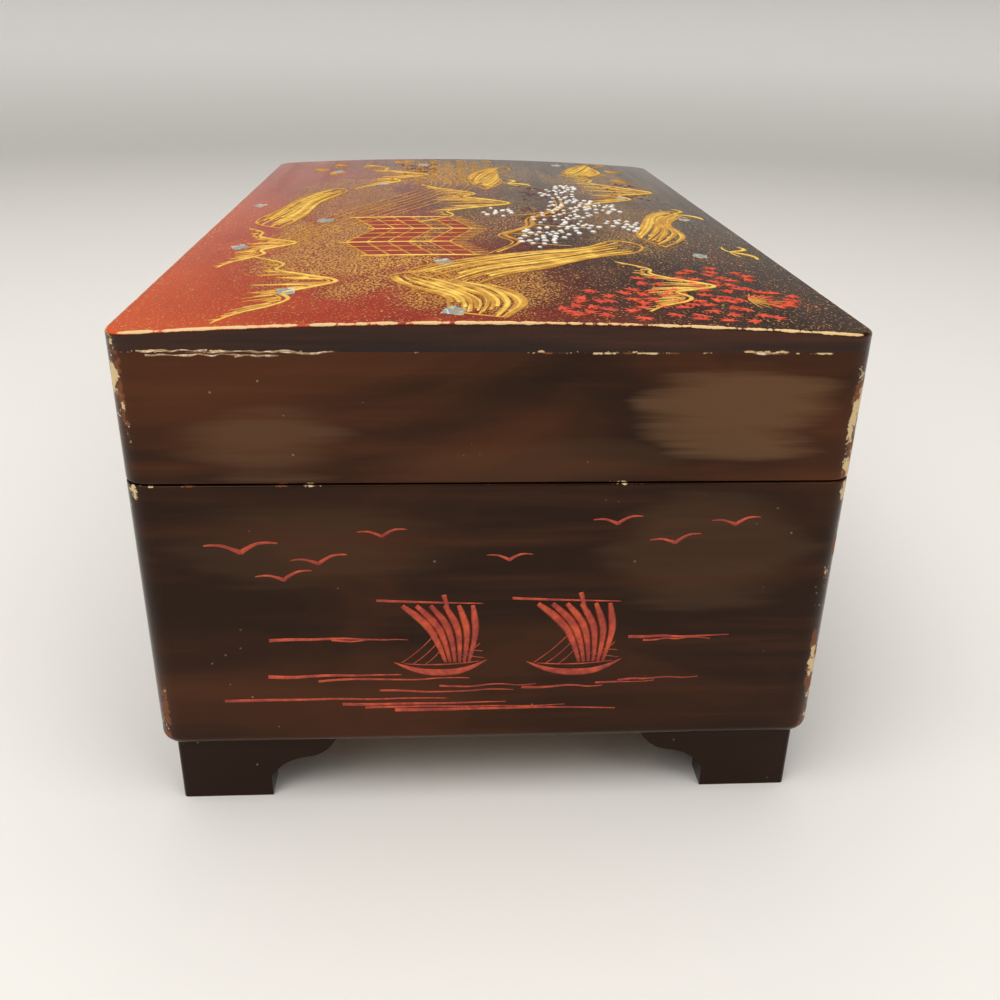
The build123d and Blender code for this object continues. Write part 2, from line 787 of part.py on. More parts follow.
# Places of the movement along the cylinder's axis
left_post_x = barrel_x + drum_radius + post_gap
cylinder_x = left_post_x + bearing_post + post_gap
cylinder_end_x = cylinder_x + cylinder_length
wheel_x = cylinder_end_x + wheel_gap
right_post_x = wheel_x + train_face_width + wheel_gap
near_ear_x = right_post_x + bearing_post + ear_gap
fly_x = near_ear_x + ear_thickness + ear_gap
far_ear_x = fly_x + fly_length + ear_gap
comb_low_x = cylinder_x + (cylinder_length - comb_note_count * comb_pitch) / 2
comb_tip_y = movement_y - cylinder_radius - pin_height - comb_clearance
comb_root_y = movement_y - comb_root_setback
comb_low = axis_z - comb_thickness / 2
comb_middle_x = comb_low_x + comb_note_count * comb_pitch / 2

# Cast bedplate with its stands, the comb's riser and the cylinder's two bearing posts
with BuildPart() as bedplate:
    with BuildSketch(Plane.XY.offset(bedplate_low)):
        with Locations(((bedplate_low_x + bedplate_high_x) / 2, (bedplate_low_y + bedplate_high_y) / 2)):
            RectangleRounded(bedplate_length, bedplate_depth, bedplate_screw_inset)
    extrude(amount=bedplate_thickness)
    for x, y in bedplate_screws:
        with Locations((x, y, bedplate_low - bedplate_standoff / 2)):
            Cylinder(standoff_radius, bedplate_standoff)
    slab(
        (comb_low_x - comb_pitch, comb_root_y, bedplate_top),
        (comb_low_x + (comb_note_count + 1) * comb_pitch, comb_root_y + comb_riser_depth, comb_low),
    )
    for post_low_x in (left_post_x, right_post_x):
        with BuildSketch(Plane.YZ.offset(post_low_x)):
            with Locations((movement_y, (bedplate_top + axis_z) / 2)):
                Rectangle(2 * post_half_depth, axis_z - bedplate_top)
            with Locations((movement_y, axis_z)):
                Circle(post_half_depth)
        extrude(amount=bearing_post)
    with Locations((left_post_x + case_depth / 2 - bearing_post, movement_y, axis_z)):
        Cylinder(
            cylinder_arbor_radius + pivot_clearance, case_depth, rotation=(0, 90, 0), mode=Mode.SUBTRACT
        )
    with Locations((barrel_x, movement_y, bedplate_top)):
        Hole(key_arbor_radius + pivot_clearance)
    with Locations(*[(x, y, bedplate_top) for x, y in bedplate_screws]):
        Hole(bedplate_screw_radius + pivot_clearance)
save(bedplate.part, "bedplate")

# Steel comb: one tooth for each note, with longer slots at the bass end
with BuildPart() as comb:
    with BuildSketch(Plane.XY.offset(comb_low)):
        with Locations((comb_middle_x, (comb_root_y + comb_tip_y) / 2)):
            Rectangle(comb_note_count * comb_pitch - comb_slot, comb_tip_y - comb_root_y)
        for i in range(1, comb_note_count):
            share = i / comb_note_count
            slot = comb_bass_slot + (comb_treble_slot - comb_bass_slot) * share
            with Locations((comb_low_x + i * comb_pitch, comb_tip_y - slot / 2)):
                Rectangle(comb_slot, slot, mode=Mode.SUBTRACT)
    extrude(amount=comb_thickness)
save(comb.part, "comb")

# Brass cylinder with its pins, set in tracks under the comb's teeth
golden_turn = 137.5
with BuildPart() as music_cylinder:
    with BuildSketch(Plane.YZ.offset(cylinder_x)):
        with Locations((movement_y, axis_z)):
            Circle(cylinder_radius)
            Circle(cylinder_arbor_radius + press_gap, mode=Mode.SUBTRACT)
    extrude(amount=cylinder_length)
    pin_places = []
    for note in range(comb_note_count):
        for pin in range(pins_per_note):
            turn = golden_turn * (note + comb_note_count * pin) + pin_offset_turn
            reach = cylinder_radius + pin_height / 2
            pin_x = comb_low_x + (note + 0.5) * comb_pitch
            pin_y = movement_y + reach * cos(radians(turn))
            pin_z = axis_z + reach * sin(radians(turn))
            pin_places.append(Location((pin_x, pin_y, pin_z), (turn, 0, 0)))
    with Locations(*pin_places):
        Box(pin_width, 2 * pin_height, pin_width)
save(music_cylinder.part, "music_cylinder")

arbor_low_x = barrel_x + crown_radius - crown_face_width / 2 - pad_gap
with BuildPart() as cylinder_arbor:
    arbor_high_x = right_post_x + bearing_post + pad_gap / 2
    with Locations(((arbor_low_x + arbor_high_x) / 2, movement_y, axis_z)):
        Cylinder(cylinder_arbor_radius, arbor_high_x - arbor_low_x, rotation=(0, 90, 0))
save(cylinder_arbor.part, "cylinder_arbor")

half_pinion_step = 180 / pinion_teeth
half_governor_step = 180 / governor_teeth
with BuildPart() as cylinder_pinion:
    with BuildSketch(Plane.YZ.offset(barrel_x + crown_radius - crown_face_width / 2)):
        with Locations((movement_y, axis_z)):
            gear_face(
                pinion_teeth,
                crown_module,
                crown_addendum,
                crown_dedendum,
                cylinder_arbor_radius + press_gap,
                270 + half_pinion_step,
            )
    extrude(amount=crown_face_width)
save(cylinder_pinion.part, "cylinder_pinion")

with BuildPart() as cylinder_wheel:
    with BuildSketch(Plane.YZ.offset(wheel_x)):
        with Locations((movement_y, axis_z)):
            gear_face(
                wheel_teeth, train_module, train_addendum, train_dedendum, cylinder_arbor_radius + press_gap, 0
            )
    extrude(amount=train_face_width)
save(cylinder_wheel.part, "cylinder_wheel")

# Governor: a small pinion and its arbor, with a two-bladed air brake, in a bracket of two ears
with BuildPart() as governor_pinion:
    with BuildSketch(Plane.YZ.offset(wheel_x)):
        with Locations((governor_y, axis_z)):
            gear_face(
                governor_teeth, train_module, train_addendum, train_dedendum, pin_width, 180 + half_governor_step
            )
            Circle(governor_arbor_radius)
    extrude(amount=train_face_width)
    governor_low_x = wheel_x - pad_gap
    governor_high_x = far_ear_x + ear_thickness + pad_gap
    with Locations(((governor_low_x + governor_high_x) / 2, governor_y, axis_z)):
        Cylinder(governor_arbor_radius, governor_high_x - governor_low_x, rotation=(0, 90, 0))
save(governor_pinion.part, "governor_pinion")

with BuildPart() as governor_fly:
    with BuildSketch(Plane.YZ.offset(fly_x)):
        with Locations((governor_y, axis_z)):
            Circle(fly_hub_radius)
            Rectangle(2 * fly_radius, fly_blade)
            Circle(governor_arbor_radius + press_gap, mode=Mode.SUBTRACT)
    extrude(amount=fly_length)
save(governor_fly.part, "governor_fly")

with BuildPart() as governor_bracket:
    slab(
        (near_ear_x, governor_y - ear_half_depth, bedplate_top),
        (far_ear_x + ear_thickness, governor_y + ear_half_depth, bedplate_top + ear_thickness),
    )
    for ear_x in (near_ear_x, far_ear_x):
        with BuildSketch(Plane.YZ.offset(ear_x)):
            with Locations((governor_y, (bedplate_top + axis_z) / 2)):
                Rectangle(2 * ear_half_depth, axis_z - bedplate_top)
            with Locations((governor_y, axis_z)):
                Circle(ear_half_depth)
                Circle(governor_arbor_radius + pivot_clearance, mode=Mode.SUBTRACT)
        extrude(amount=ear_thickness)
save(governor_bracket.part, "governor_bracket")

# Spring barrel: a cup with crown teeth on its rim
with BuildPart() as crown_tooth:
    outer_face = Plane(
        origin=(drum_radius, 0, crown_plane), x_dir=(0, 1, 0), z_dir=(1, 0, 0)
    )
    with BuildSketch(outer_face):
        half = pi * crown_module / 4 - tooth_play / 2
        slope = tan(pressure_angle)
        foot_half = half + crown_dedendum * slope
        tip_half = half - crown_addendum * slope
        Polygon(
            (-foot_half, -crown_dedendum - pad_gap),
            (foot_half, -crown_dedendum - pad_gap),
            (foot_half, -crown_dedendum),
            (tip_half, crown_addendum),
            (-tip_half, crown_addendum),
            (-foot_half, -crown_dedendum),
            align=None,
        )
    extrude(amount=-crown_face_width)

with BuildPart() as spring_barrel:
    with BuildSketch(Plane.XZ):
        with BuildLine():
            bore = key_arbor_radius + barrel_play
            Polyline(
                (bore, drum_low),
                (drum_radius, drum_low),
                (drum_radius, drum_rim),
                (drum_inner, drum_rim),
                (drum_inner, drum_low + barrel_floor),
                (bore, drum_low + barrel_floor),
                close=True,
            )
        make_face()
    revolve(axis=Axis.Z)
    with PolarLocations(0, crown_teeth):
        add(crown_tooth.part)
save(spring_barrel.part.moved(Location((barrel_x, movement_y, 0))), "spring_barrel")

with BuildPart() as barrel_cover:
    with BuildSketch(Plane.XY.offset(drum_rim - barrel_cover_thickness - cover_sink)):
        with Locations((barrel_x, movement_y)):
            Circle(drum_inner - press_gap)
            Circle(key_arbor_radius + barrel_play, mode=Mode.SUBTRACT)
    extrude(amount=barrel_cover_thickness)
save(barrel_cover.part, "barrel_cover")

# Mainspring: a flat strip wound in half-turn arcs between the arbor and the barrel wall
spring_low = drum_low + barrel_floor + spring_edge_gap
spring_high = drum_rim - barrel_cover_thickness - cover_sink - spring_edge_gap
spring_start = arbor_collar_radius
spring_end = drum_inner - spring_edge_gap
spiral_step = (spring_end - spring_strip - spring_start) / (2 * spring_turns)


def spiral_edges(start_radius):
    """Half-turn arcs whose centres swap about the axis, each a step wider; gives the two ends."""
    start = (start_radius, 0)
    point = start
    for half_turn in range(2 * spring_turns):
        side = 1 if half_turn % 2 == 0 else -1
        radius = start_radius + (half_turn + 0.5) * spiral_step
        following = (point[0] - side * 2 * radius, 0)
        top = ((point[0] + following[0]) / 2, side * radius)
        ThreePointArc(point, top, following)
        point = following
    return start, point


with BuildPart() as mainspring:
    with BuildSketch(Plane.XY.offset(spring_low)):
        with BuildLine():
            inner_start, inner_end = spiral_edges(spring_start)
            outer_start, outer_end = spiral_edges(spring_start + spring_strip)
            Line(inner_start, outer_start)
            Line(inner_end, outer_end)
        make_face()
    extrude(amount=spring_high - spring_low)
save(mainspring.part.moved(Location((barrel_x, movement_y, 0))), "mainspring")

# Winding arbor with its collar, and the wing key under the box
key_top = bottom_board_low - key_drop
with BuildPart() as winding_arbor:
    arbor_foot = key_top - key_hub_height
    arbor_head = drum_rim + arbor_stand
    with Locations((barrel_x, movement_y, (arbor_foot + arbor_head) / 2)):
        Cylinder(key_arbor_radius, arbor_head - arbor_foot)
    collar_height = barrel_gap - 2 * arbor_collar_gap
    with Locations((barrel_x, movement_y, bedplate_top + barrel_gap / 2)):
        Cylinder(arbor_collar_radius, collar_height)
save(winding_arbor.part, "winding_arbor")

with BuildPart() as winding_key:
    with Locations((barrel_x, movement_y, key_top - key_hub_height / 2)):
        Cylinder(key_hub_radius, key_hub_height)
    wing_z = key_top - key_hub_height / 2 - key_height / 2
    with BuildSketch(Plane.XZ.offset(-movement_y - key_thickness / 2)):
        with Locations((barrel_x, wing_z)):
            RectangleRounded(key_width, key_height, key_height / 2 - key_thickness / 2)
        for side in (-1, 1):
            with Locations((barrel_x + side * (key_width / 2 - key_height / 2 + key_eye_shift), wing_z)):
                Circle(key_eye_radius, mode=Mode.SUBTRACT)
    extrude(amount=key_thickness)
    with Locations((barrel_x, movement_y, key_top)):
        Hole(key_arbor_radius + press_gap, depth=key_hub_height)
save(winding_key.part, "winding_key")

# Three machine screws that hold the movement, put up through the bottom board
with BuildPart() as movement_screws:
    screw_low = bottom_board_low - movement_screw_head_height
    for x, y in bedplate_screws:
        with Locations((x, y, screw_low + movement_screw_head_height / 2)):
            Cylinder(movement_screw_head, movement_screw_head_height)
        with Locations((x, y, (bottom_board_low + bedplate_top) / 2)):
            Cylinder(bedplate_screw_radius, bedplate_top - bottom_board_low)
save(movement_screws.part, "movement_screws")

# Stop: a sprung rod under the lid's striker, with an arm that rests over the air brake
stop_arm_low = axis_z + fly_radius + stop_arm_gap
guide_top = bottom_board_top + stop_guide_height
with BuildPart() as stop_guide:
    with Locations((stop_x, stop_y, bottom_board_top + stop_guide_height / 2)):
        Cylinder(stop_guide_radius, stop_guide_height)
    with Locations((stop_x, stop_y, guide_top)):
        Hole(stop_rod_radius + pivot_clearance, depth=stop_guide_height - stop_guide_floor)
save(stop_guide.part, "stop_guide")

with BuildPart() as stop_rod:
    rod_low = bottom_board_top + stop_rod_foot
    rod_high = lid_bottom - stop_arm_gap
    with Locations((stop_x, stop_y, (rod_low + rod_high) / 2)):
        Cylinder(stop_rod_radius, rod_high - rod_low)
    slab(
        (stop_x - stop_rod_radius, governor_y - stop_rod_radius, stop_arm_low),
        (stop_x + stop_rod_radius, stop_y, stop_arm_low + stop_arm_thickness),
    )
    with Locations((stop_x, stop_y, stop_arm_low + stop_arm_thickness / 2)):
        Cylinder(stop_collar_radius, stop_arm_thickness)
save(stop_rod.part, "stop_rod")

# Folded flat spring between the guide and the rod's collar, with a hole for the rod
with BuildPart() as stop_spring:
    spring_rise = (stop_arm_low - guide_top) / stop_spring_folds
    with BuildSketch(Plane.YZ.offset(stop_x - stop_spring_width / 2)):
        for fold in range(stop_spring_folds):
            side = 1 if fold % 2 == 0 else -1
            low = guide_top + fold * spring_rise
            high = low + spring_rise
            Polygon(
                (stop_y - side * stop_spring_reach, low),
                (stop_y - side * stop_spring_reach, low + stop_spring_strip),
                (stop_y + side * stop_spring_reach, high),
                (stop_y + side * stop_spring_reach, high - stop_spring_strip),
                align=None,
            )
    extrude(amount=stop_spring_width)
    with Locations((stop_x, stop_y, stop_arm_low)):
        Hole(stop_rod_radius + shelf_hole_play)
save(stop_spring.part, "stop_spring")
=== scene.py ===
import math
import random

import bmesh
import bpy
from mathutils import Matrix, Vector, noise


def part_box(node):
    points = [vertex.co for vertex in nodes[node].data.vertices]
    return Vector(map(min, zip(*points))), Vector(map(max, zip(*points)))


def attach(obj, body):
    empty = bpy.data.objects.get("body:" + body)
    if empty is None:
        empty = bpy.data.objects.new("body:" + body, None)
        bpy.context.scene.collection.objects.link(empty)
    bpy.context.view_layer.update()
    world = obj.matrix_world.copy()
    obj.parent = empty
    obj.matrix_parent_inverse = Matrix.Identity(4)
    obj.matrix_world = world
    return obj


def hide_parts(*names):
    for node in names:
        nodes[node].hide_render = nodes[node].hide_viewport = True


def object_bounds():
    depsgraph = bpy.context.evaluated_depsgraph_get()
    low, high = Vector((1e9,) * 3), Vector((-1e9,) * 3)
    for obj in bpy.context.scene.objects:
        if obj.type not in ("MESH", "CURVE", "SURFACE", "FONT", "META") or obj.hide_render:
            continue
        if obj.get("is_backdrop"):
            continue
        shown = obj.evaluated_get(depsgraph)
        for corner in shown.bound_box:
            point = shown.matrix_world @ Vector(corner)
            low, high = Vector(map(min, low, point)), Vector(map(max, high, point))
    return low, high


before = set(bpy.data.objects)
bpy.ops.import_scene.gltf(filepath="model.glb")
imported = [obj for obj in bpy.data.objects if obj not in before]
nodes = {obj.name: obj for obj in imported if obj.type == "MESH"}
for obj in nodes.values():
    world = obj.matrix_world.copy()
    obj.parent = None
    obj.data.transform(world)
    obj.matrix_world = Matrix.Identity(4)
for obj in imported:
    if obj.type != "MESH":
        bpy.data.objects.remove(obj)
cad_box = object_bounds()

mm = 0.001


# Plywood bottom, shelf and chamber wall.
# Thin three-ply sheets slid into grooves in the walls before the last end panel goes on,
# left bare below and behind. Red paper covers them where the pads lie.
def sums(operation, turned=False):
    """A Math node's work as a method of a pattern."""
    def work(self, other=0.0):
        first, second = (other, self) if turned else (self, other)
        return node(self.made, "Math", 0, {"operation": operation}, i0=first, i1=second)
    return work


class Pattern:
    """A value that varies over a surface: one output of a material's shader nodes."""

    def __init__(self, made, socket):
        self.made = made
        self.socket = socket

    __add__, __sub__, __rsub__ = sums("ADD"), sums("SUBTRACT"), sums("SUBTRACT", True)
    __mul__, __truediv__, __abs__ = sums("MULTIPLY"), sums("DIVIDE"), sums("ABSOLUTE")
    most, least = sums("MAXIMUM"), sums("MINIMUM")


def material(name, colour, roughness, **sockets):
    """A new material: constants go straight on the shader's own sockets."""
    made = bpy.data.materials.new(name)
    made.use_nodes = True
    shader = made.node_tree.nodes["Principled BSDF"]
    shader.inputs["Base Color"].default_value = (*colour, 1)
    shader.inputs["Roughness"].default_value = roughness
    for socket, value in sockets.items():
        shader.inputs[socket.replace("_", " ")].default_value = value
    return made


def give(socket, value):
    """A pattern, a number or a colour on one input of a shader node."""
    if isinstance(value, Pattern):
        value.made.node_tree.links.new(value.socket, socket)
    else:
        socket.default_value = (*value, 1) if socket.type == "RGBA" else value


def node(made, kind, out=0, settings=None, **inputs):
    """One output of a new shader node. Its inputs go by name, or by number as i0, i1 and so on."""
    new = made.node_tree.nodes.new("ShaderNode" + kind)
    for key, value in (settings or {}).items():
        setattr(new, key, value)
    for key, value in inputs.items():
        give(new.inputs[int(key[1:]) if key[1:].isdigit() else key], value)
    return Pattern(made, new.outputs[out])


def span(value, low, high, out_low=0.0, out_high=1.0):
    """A value's smooth step from one limit to another."""
    settings = {"interpolation_type": "SMOOTHSTEP"}
    return node(value.made, "MapRange", 0, settings, i0=value, i1=low, i2=high, i3=out_low, i4=out_high)


def blend(share, first, second):
    """A colour between two others, each a colour or a pattern."""
    return node(share.made, "Mix", 2, {"data_type": "RGBA"}, i0=share, i6=first, i7=second)


def place(made, stretch=(1, 1, 1), shift=(0, 0, 0)):
    """Object coordinates, stretched and moved."""
    return node(made, "Mapping", Vector=node(made, "TexCoord", "Object"), Scale=stretch, Location=shift)


def grain(made, scale, detail=3.0, roughness=0.5, twist=0.0, **where):
    """Noise between 0 and 1."""
    values = {"Scale": scale, "Detail": detail, "Roughness": roughness, "Distortion": twist}
    return node(made, "TexNoise", Vector=place(made, **where), **values)


def scaled(values, share):
    return tuple(share * value for value in values)


def finish_with(made, colour=None, roughness=None, height=None, depth=0.0003, strength=0.4):
    """Link a pattern to the shader: its colour, its roughness and its relief in metres."""
    relief = None
    if height is not None:
        relief = node(made, "Bump", Height=height, Strength=strength, Distance=depth)
    shader = made.node_tree.nodes["Principled BSDF"]
    for socket, value in (("Base Color", colour), ("Roughness", roughness), ("Normal", relief)):
        if value is not None:
            give(shader.inputs[socket], value)


def dress(made, *names):
    """Give CAD nodes a material in their own slots."""
    for name in names:
        slots = nodes[name].data.materials
        if not slots:
            slots.append(made)
        for i in range(len(slots)):
            slots[i] = made


def wood(name, light, dark, stretch, roughness, paper=None):
    """Bare wood with its grain along one axis, and paper on its upward face if a colour is given."""
    made = material(name, light, roughness)
    fibres = grain(made, 60, 5, 0.65, stretch=stretch)
    bands = grain(made, 30, 2, 0.5, 1.5, stretch=scaled(stretch, 0.3))
    pores = grain(made, 260, 2, 0.6, stretch=stretch)
    colour = blend(span(fibres * 0.6 + bands * 0.5, 0.35, 0.75), light, dark)
    colour = blend(span(pores, 0.62, 0.78, 0.0, 0.5), colour, scaled(dark, 0.5))
    if paper:
        upward = node(made, "SeparateXYZ", 2, Vector=node(made, "NewGeometry", "Normal"))
        colour = blend(span(upward, 0.5, 0.6), colour, paper)
    finish_with(made, colour, span(fibres, 0.3, 0.7, roughness, roughness + 0.15), fibres, 0.0002, 0.3)
    return made


along_length = (0.08, 1.0, 1.0)
along_depth = (1.0, 0.08, 1.0)
ply_light, ply_dark = (0.46, 0.31, 0.17), (0.30, 0.18, 0.09)
paper_red = (0.10, 0.006, 0.009)
dress(wood("plywood", ply_light, ply_dark, along_length, 0.6), "bottom_board", "chamber_wall")
dress(wood("papered", ply_light, ply_dark, along_length, 0.6, paper_red), "shelf", "drawer_bottom")

# Walls of the body, the rail under the drawer, the drawer's front and the bracket feet.
# Boards glued and filled, then brushed with many coats of brown-black lacquer and polished,
# so the joints don't show. Corners and rims have worn through to the filler.
panel_low, panel_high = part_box("right_end_panel")
lid_low, lid_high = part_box("lid_board")
half_length, half_depth, seam_height = panel_high
corner_radius = 6.6 * mm
edge_width = 1.1 * mm
streak_level = (0.05, 0.05, 1.0)
lacquer_dark = (0.0135, 0.0046, 0.0024)
lacquer_brown = (0.052, 0.0155, 0.0055)
filler_cream = (0.66, 0.50, 0.27)
undercoat_brown = (0.17, 0.055, 0.02)
# Colour of the soft pale patches that are painted reflections on the polished lacquer.
painted_reflection_brown = (0.18, 0.095, 0.045)
dust_brown = (0.34, 0.23, 0.15)


def apart(made):
    """Object coordinates x, y and z, and x and y without their sign."""
    whole = node(made, "SeparateXYZ", Vector=node(made, "TexCoord", "Object"))
    x, y, z = (Pattern(made, part) for part in whole.socket.node.outputs)
    return x, y, z, abs(x), abs(y)


def near_corner(far_x, far_y):
    """From 0 on the flat faces to 1 in the middle of a rounded upright corner."""
    inset = corner_radius * (1 - math.sqrt(0.5))
    middle = half_length + half_depth - 2 * inset
    return span(far_x + far_y, middle - 2.2 * mm, middle - 0.1 * mm)


def near_level(z, level):
    """From 0 away from a level to 1 on it."""
    return span(abs(z - level), 0.2 * mm, edge_width, 1.0, 0.0)


def inset_from_sides(far_x, far_y):
    """How far a point lies inside the box's outer faces, in metres."""
    return (half_length - far_x).least(half_depth - far_y)


def soft_patches(u, v, ovals, waver):
    """The strongest of several soft ovals, each a centre and a reach in millimetres and an amount."""
    strongest = 0.0
    for centre, reach, amount in ovals:
        across = (u - centre[0] * mm) / (reach[0] * mm)
        upward = (v - centre[1] * mm) / (reach[1] * mm)
        oval = span(across * across + upward * upward + waver, 0.25, 1.1, 1.0, 0.0)
        strongest = (oval * amount).most(strongest)
    return strongest


def chipped(made, closeness, fineness, floor, sharp=0.03, shift=0.0):
    """Where a thin coat has chipped off: a ragged patch that grows with closeness to an edge."""
    ragged = grain(made, fineness, 6, 0.7, 0.3, shift=(shift, shift, shift))
    return span(ragged + closeness * 0.45, floor, floor + sharp)


def lacquer(name, wear, rims=(), tint=lacquer_brown, upright=True, painted_reflections=(), warmth=1.0):
    """Glossy brushed lacquer with dust under the polish, worn at the corners and the given rims, and with
    painted reflections as soft pale brown patches where these are given.
    """
    made = material(
        name, lacquer_dark, 0.2, Coat_Weight=0.06, Coat_Roughness=0.03,
        Specular_IOR_Level=0.17, Specular_Tint=(1.0, 0.74, 0.55, 1),
    )
    x, y, z, far_x, far_y = apart(made)
    broad = grain(made, 16, 4, 0.55, 0.8, stretch=tuple(0.5 + 0.5 * s for s in streak_level))
    brushed = grain(made, 150, 4, 0.6, stretch=streak_level)
    colour = blend(span(broad, 0.52 - 0.12 * warmth, 0.80 - 0.12 * warmth), lacquer_dark, tint)
    colour = blend(span(brushed, 0.45, 0.75, 0.0, 0.5), colour, scaled(tint, 1.5))
    # Painted reflections: soft pale brown patches laid into the lacquer's colour.
    if painted_reflections:
        waver = brushed * 3.4 + broad * 3.0 - 3.1
        colour = blend(soft_patches(y, z, painted_reflections, waver), colour, painted_reflection_brown)
    clumps = span(grain(made, 24, 2, 0.5, 1.0), 0.42, 0.62, 0.25, 1.0)
    closeness = near_corner(far_x, far_y) * clumps if upright else 0.0
    outside = span(inset_from_sides(far_x, far_y), 0.3 * mm, 1.0 * mm, 1.0, 0.0) * clumps
    for rim, amount in rims:
        closeness = (near_level(z, rim) * (outside * amount)).most(closeness)
    rubbed = chipped(made, closeness, 110, 1.03 - 0.07 * wear, 0.06, 0.7)
    chips = chipped(made, closeness, 190, 1.12 - 0.10 * wear)
    colour = blend(chips, blend(rubbed, colour, undercoat_brown), filler_cream)
    dots = node(made, "TexVoronoi", "Distance", Vector=place(made), Scale=300.0)
    dust = span(dots, 0.04, 0.12, 1.0, 0.0) * span(grain(made, 70, 2), 0.585, 0.62)
    colour = blend(dust * 0.6, colour, dust_brown)
    height = brushed * 0.22 + dust * 0.5 - chips * 1.2
    gloss = span(brushed + broad, 0.8, 1.3, 0.08, 0.19).most(chips.most(rubbed) * 0.6)
    finish_with(made, colour, gloss, height, 0.0001, 0.35)
    return made


body_wear = 1.35
body_rims = ((panel_low.z + 0.9 * mm, 0.95), (seam_height, 0.9))
# Painted reflections on the body's end panels: centre and reach in millimetres and strength of each pale
# patch.
body_painted_reflections = (((-44, 82), (36, 12), 0.12), ((56, 80), (26, 16), 0.16))
foot_rims = ((0.0, 0.95), (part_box("feet_front")[1].z, 0.6))
end_lacquer = lacquer("end_lacquer", body_wear, body_rims, painted_reflections=body_painted_reflections)
dress(end_lacquer, "right_end_panel", "left_end_panel")
dress(lacquer("side_lacquer", body_wear, body_rims), "back_panel", "front_panel", "base_rail")
dress(lacquer("drawer_lacquer", 0.5, upright=False), "drawer_front")
dress(lacquer("foot_lacquer", 0.8, foot_rims, lacquer_dark), "feet_front", "feet_back")

# Vermilion figures on the ends and the front: gulls, small sailing boats and bars of water.
# They are painted freehand with a fine brush on the polished lacquer, so every line stands up a
# little and thins out where the brush lifts.
vermilion = material("vermilion", (0.50, 0.045, 0.012), 0.38)
uneven = grain(vermilion, 260, 4, 0.7)
vermilion_tone = blend(span(uneven, 0.35, 0.75), (0.26, 0.018, 0.008), (0.66, 0.085, 0.02))
finish_with(vermilion, vermilion_tone, span(uneven, 0.3, 0.7, 0.3, 0.5), uneven, 0.0001, 0.4)
paint_sink = 0.02 * mm
finest_hair = 0.02


def smooth_spline(curve, points):
    """One brush line through (u, v, half width) points, in millimetres."""
    spline = curve.splines.new("NURBS")
    spline.points.add(len(points) - 1)
    for point, (u, v, half_width) in zip(spline.points, points):
        point.co = (u, v, 0, 1)
        point.radius = max(half_width, finest_hair)
    spline.order_u = min(3, len(points))
    spline.use_endpoint_u = True
    spline.resolution_u = 4


def draped(mesh, lay, lift):
    """Lay a flat drawing in millimetres on its surface. Lift turns its height into the paint's."""
    for vertex in mesh.vertices:
        u, v, w = vertex.co
        vertex.co = lay(u * mm, v * mm, lift(w * mm))


def finished(name, mesh, made, body, smooth=True):
    """A new piece with its material, riding on a CAD body."""
    piece = bpy.data.objects.new(name, mesh)
    bpy.context.scene.collection.objects.link(piece)
    mesh.materials.clear()
    mesh.materials.append(made)
    for face in mesh.polygons:
        face.use_smooth = smooth
    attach(piece, body)


def outward(mesh):
    """Merge doubles and turn every face outwards."""
    shape = bmesh.new()
    shape.from_mesh(mesh)
    bmesh.ops.remove_doubles(shape, verts=shape.verts, dist=1e-7)
    bmesh.ops.recalc_face_normals(shape, faces=shape.faces)
    shape.to_mesh(mesh)
    shape.free()


def paint_lines(name, lines, lay, made, body, thickness=0.16, sides=1):
    """Brush lines as one piece: round bars, pressed nearly flat."""
    curve = bpy.data.curves.new(name, "CURVE")
    curve.dimensions = "3D"
    curve.bevel_depth = 1.0
    curve.bevel_resolution = sides
    curve.use_fill_caps = True
    for line in lines:
        smooth_spline(curve, line)
    drawing = bpy.data.objects.new(name + "_drawing", curve)
    mesh = bpy.data.meshes.new_from_object(drawing)
    bpy.data.objects.remove(drawing)
    draped(mesh, lay, lambda height: max(height * thickness, -paint_sink))
    outward(mesh)
    finished(name, mesh, made, body)


def on_right_end(u, v, w):
    return Vector((half_length + w, u, v))


def on_left_end(u, v, w):
    return Vector((-half_length - w, -u, v))


def on_front(u, v, w):
    return Vector((u, -half_depth - w, v))


left_wing = ((-1.0, 0.30), (-0.62, 0.36), (-0.25, 0.10), (0.0, -0.14))
right_wing = ((-0.03, -0.16), (0.30, 0.26), (0.66, 0.44), (1.02, 0.34))
wing_widths = (0.2, 0.38, 0.5, 0.75)
hull = ((-1.02, 0.26, 0.12), (-0.62, 0.04, 0.8), (0.0, -0.04, 1.15), (0.6, 0.03, 0.85), (1.0, 0.30, 0.12))
gunwale = ((-0.80, 0.22, 0.1), (0.0, 0.13, 0.3), (0.82, 0.26, 0.1))
stays = (((-0.86, 0.24), (-0.1, 1.0)), ((-0.62, 0.2), (0.0, 0.86)), ((-0.34, 0.2), (0.06, 0.7)))
sheets = (((0.40, 0.26), (0.84, 0.72)), ((0.24, 0.46), (0.94, 0.34)), ((0.5, 0.56), (0.9, 0.52)))
rope_width = 0.13


def gull(u, v, reach, tilt):
    """Two wings in one line, thickest at the body."""
    lines = []
    for wing, widths in ((left_wing, wing_widths), (right_wing, wing_widths[::-1])):
        lines.append([
            (u + reach * a, v + reach * (0.55 * b + tilt * a), width * reach / 9)
            for (a, b), width in zip(wing, widths)
        ])
    return lines


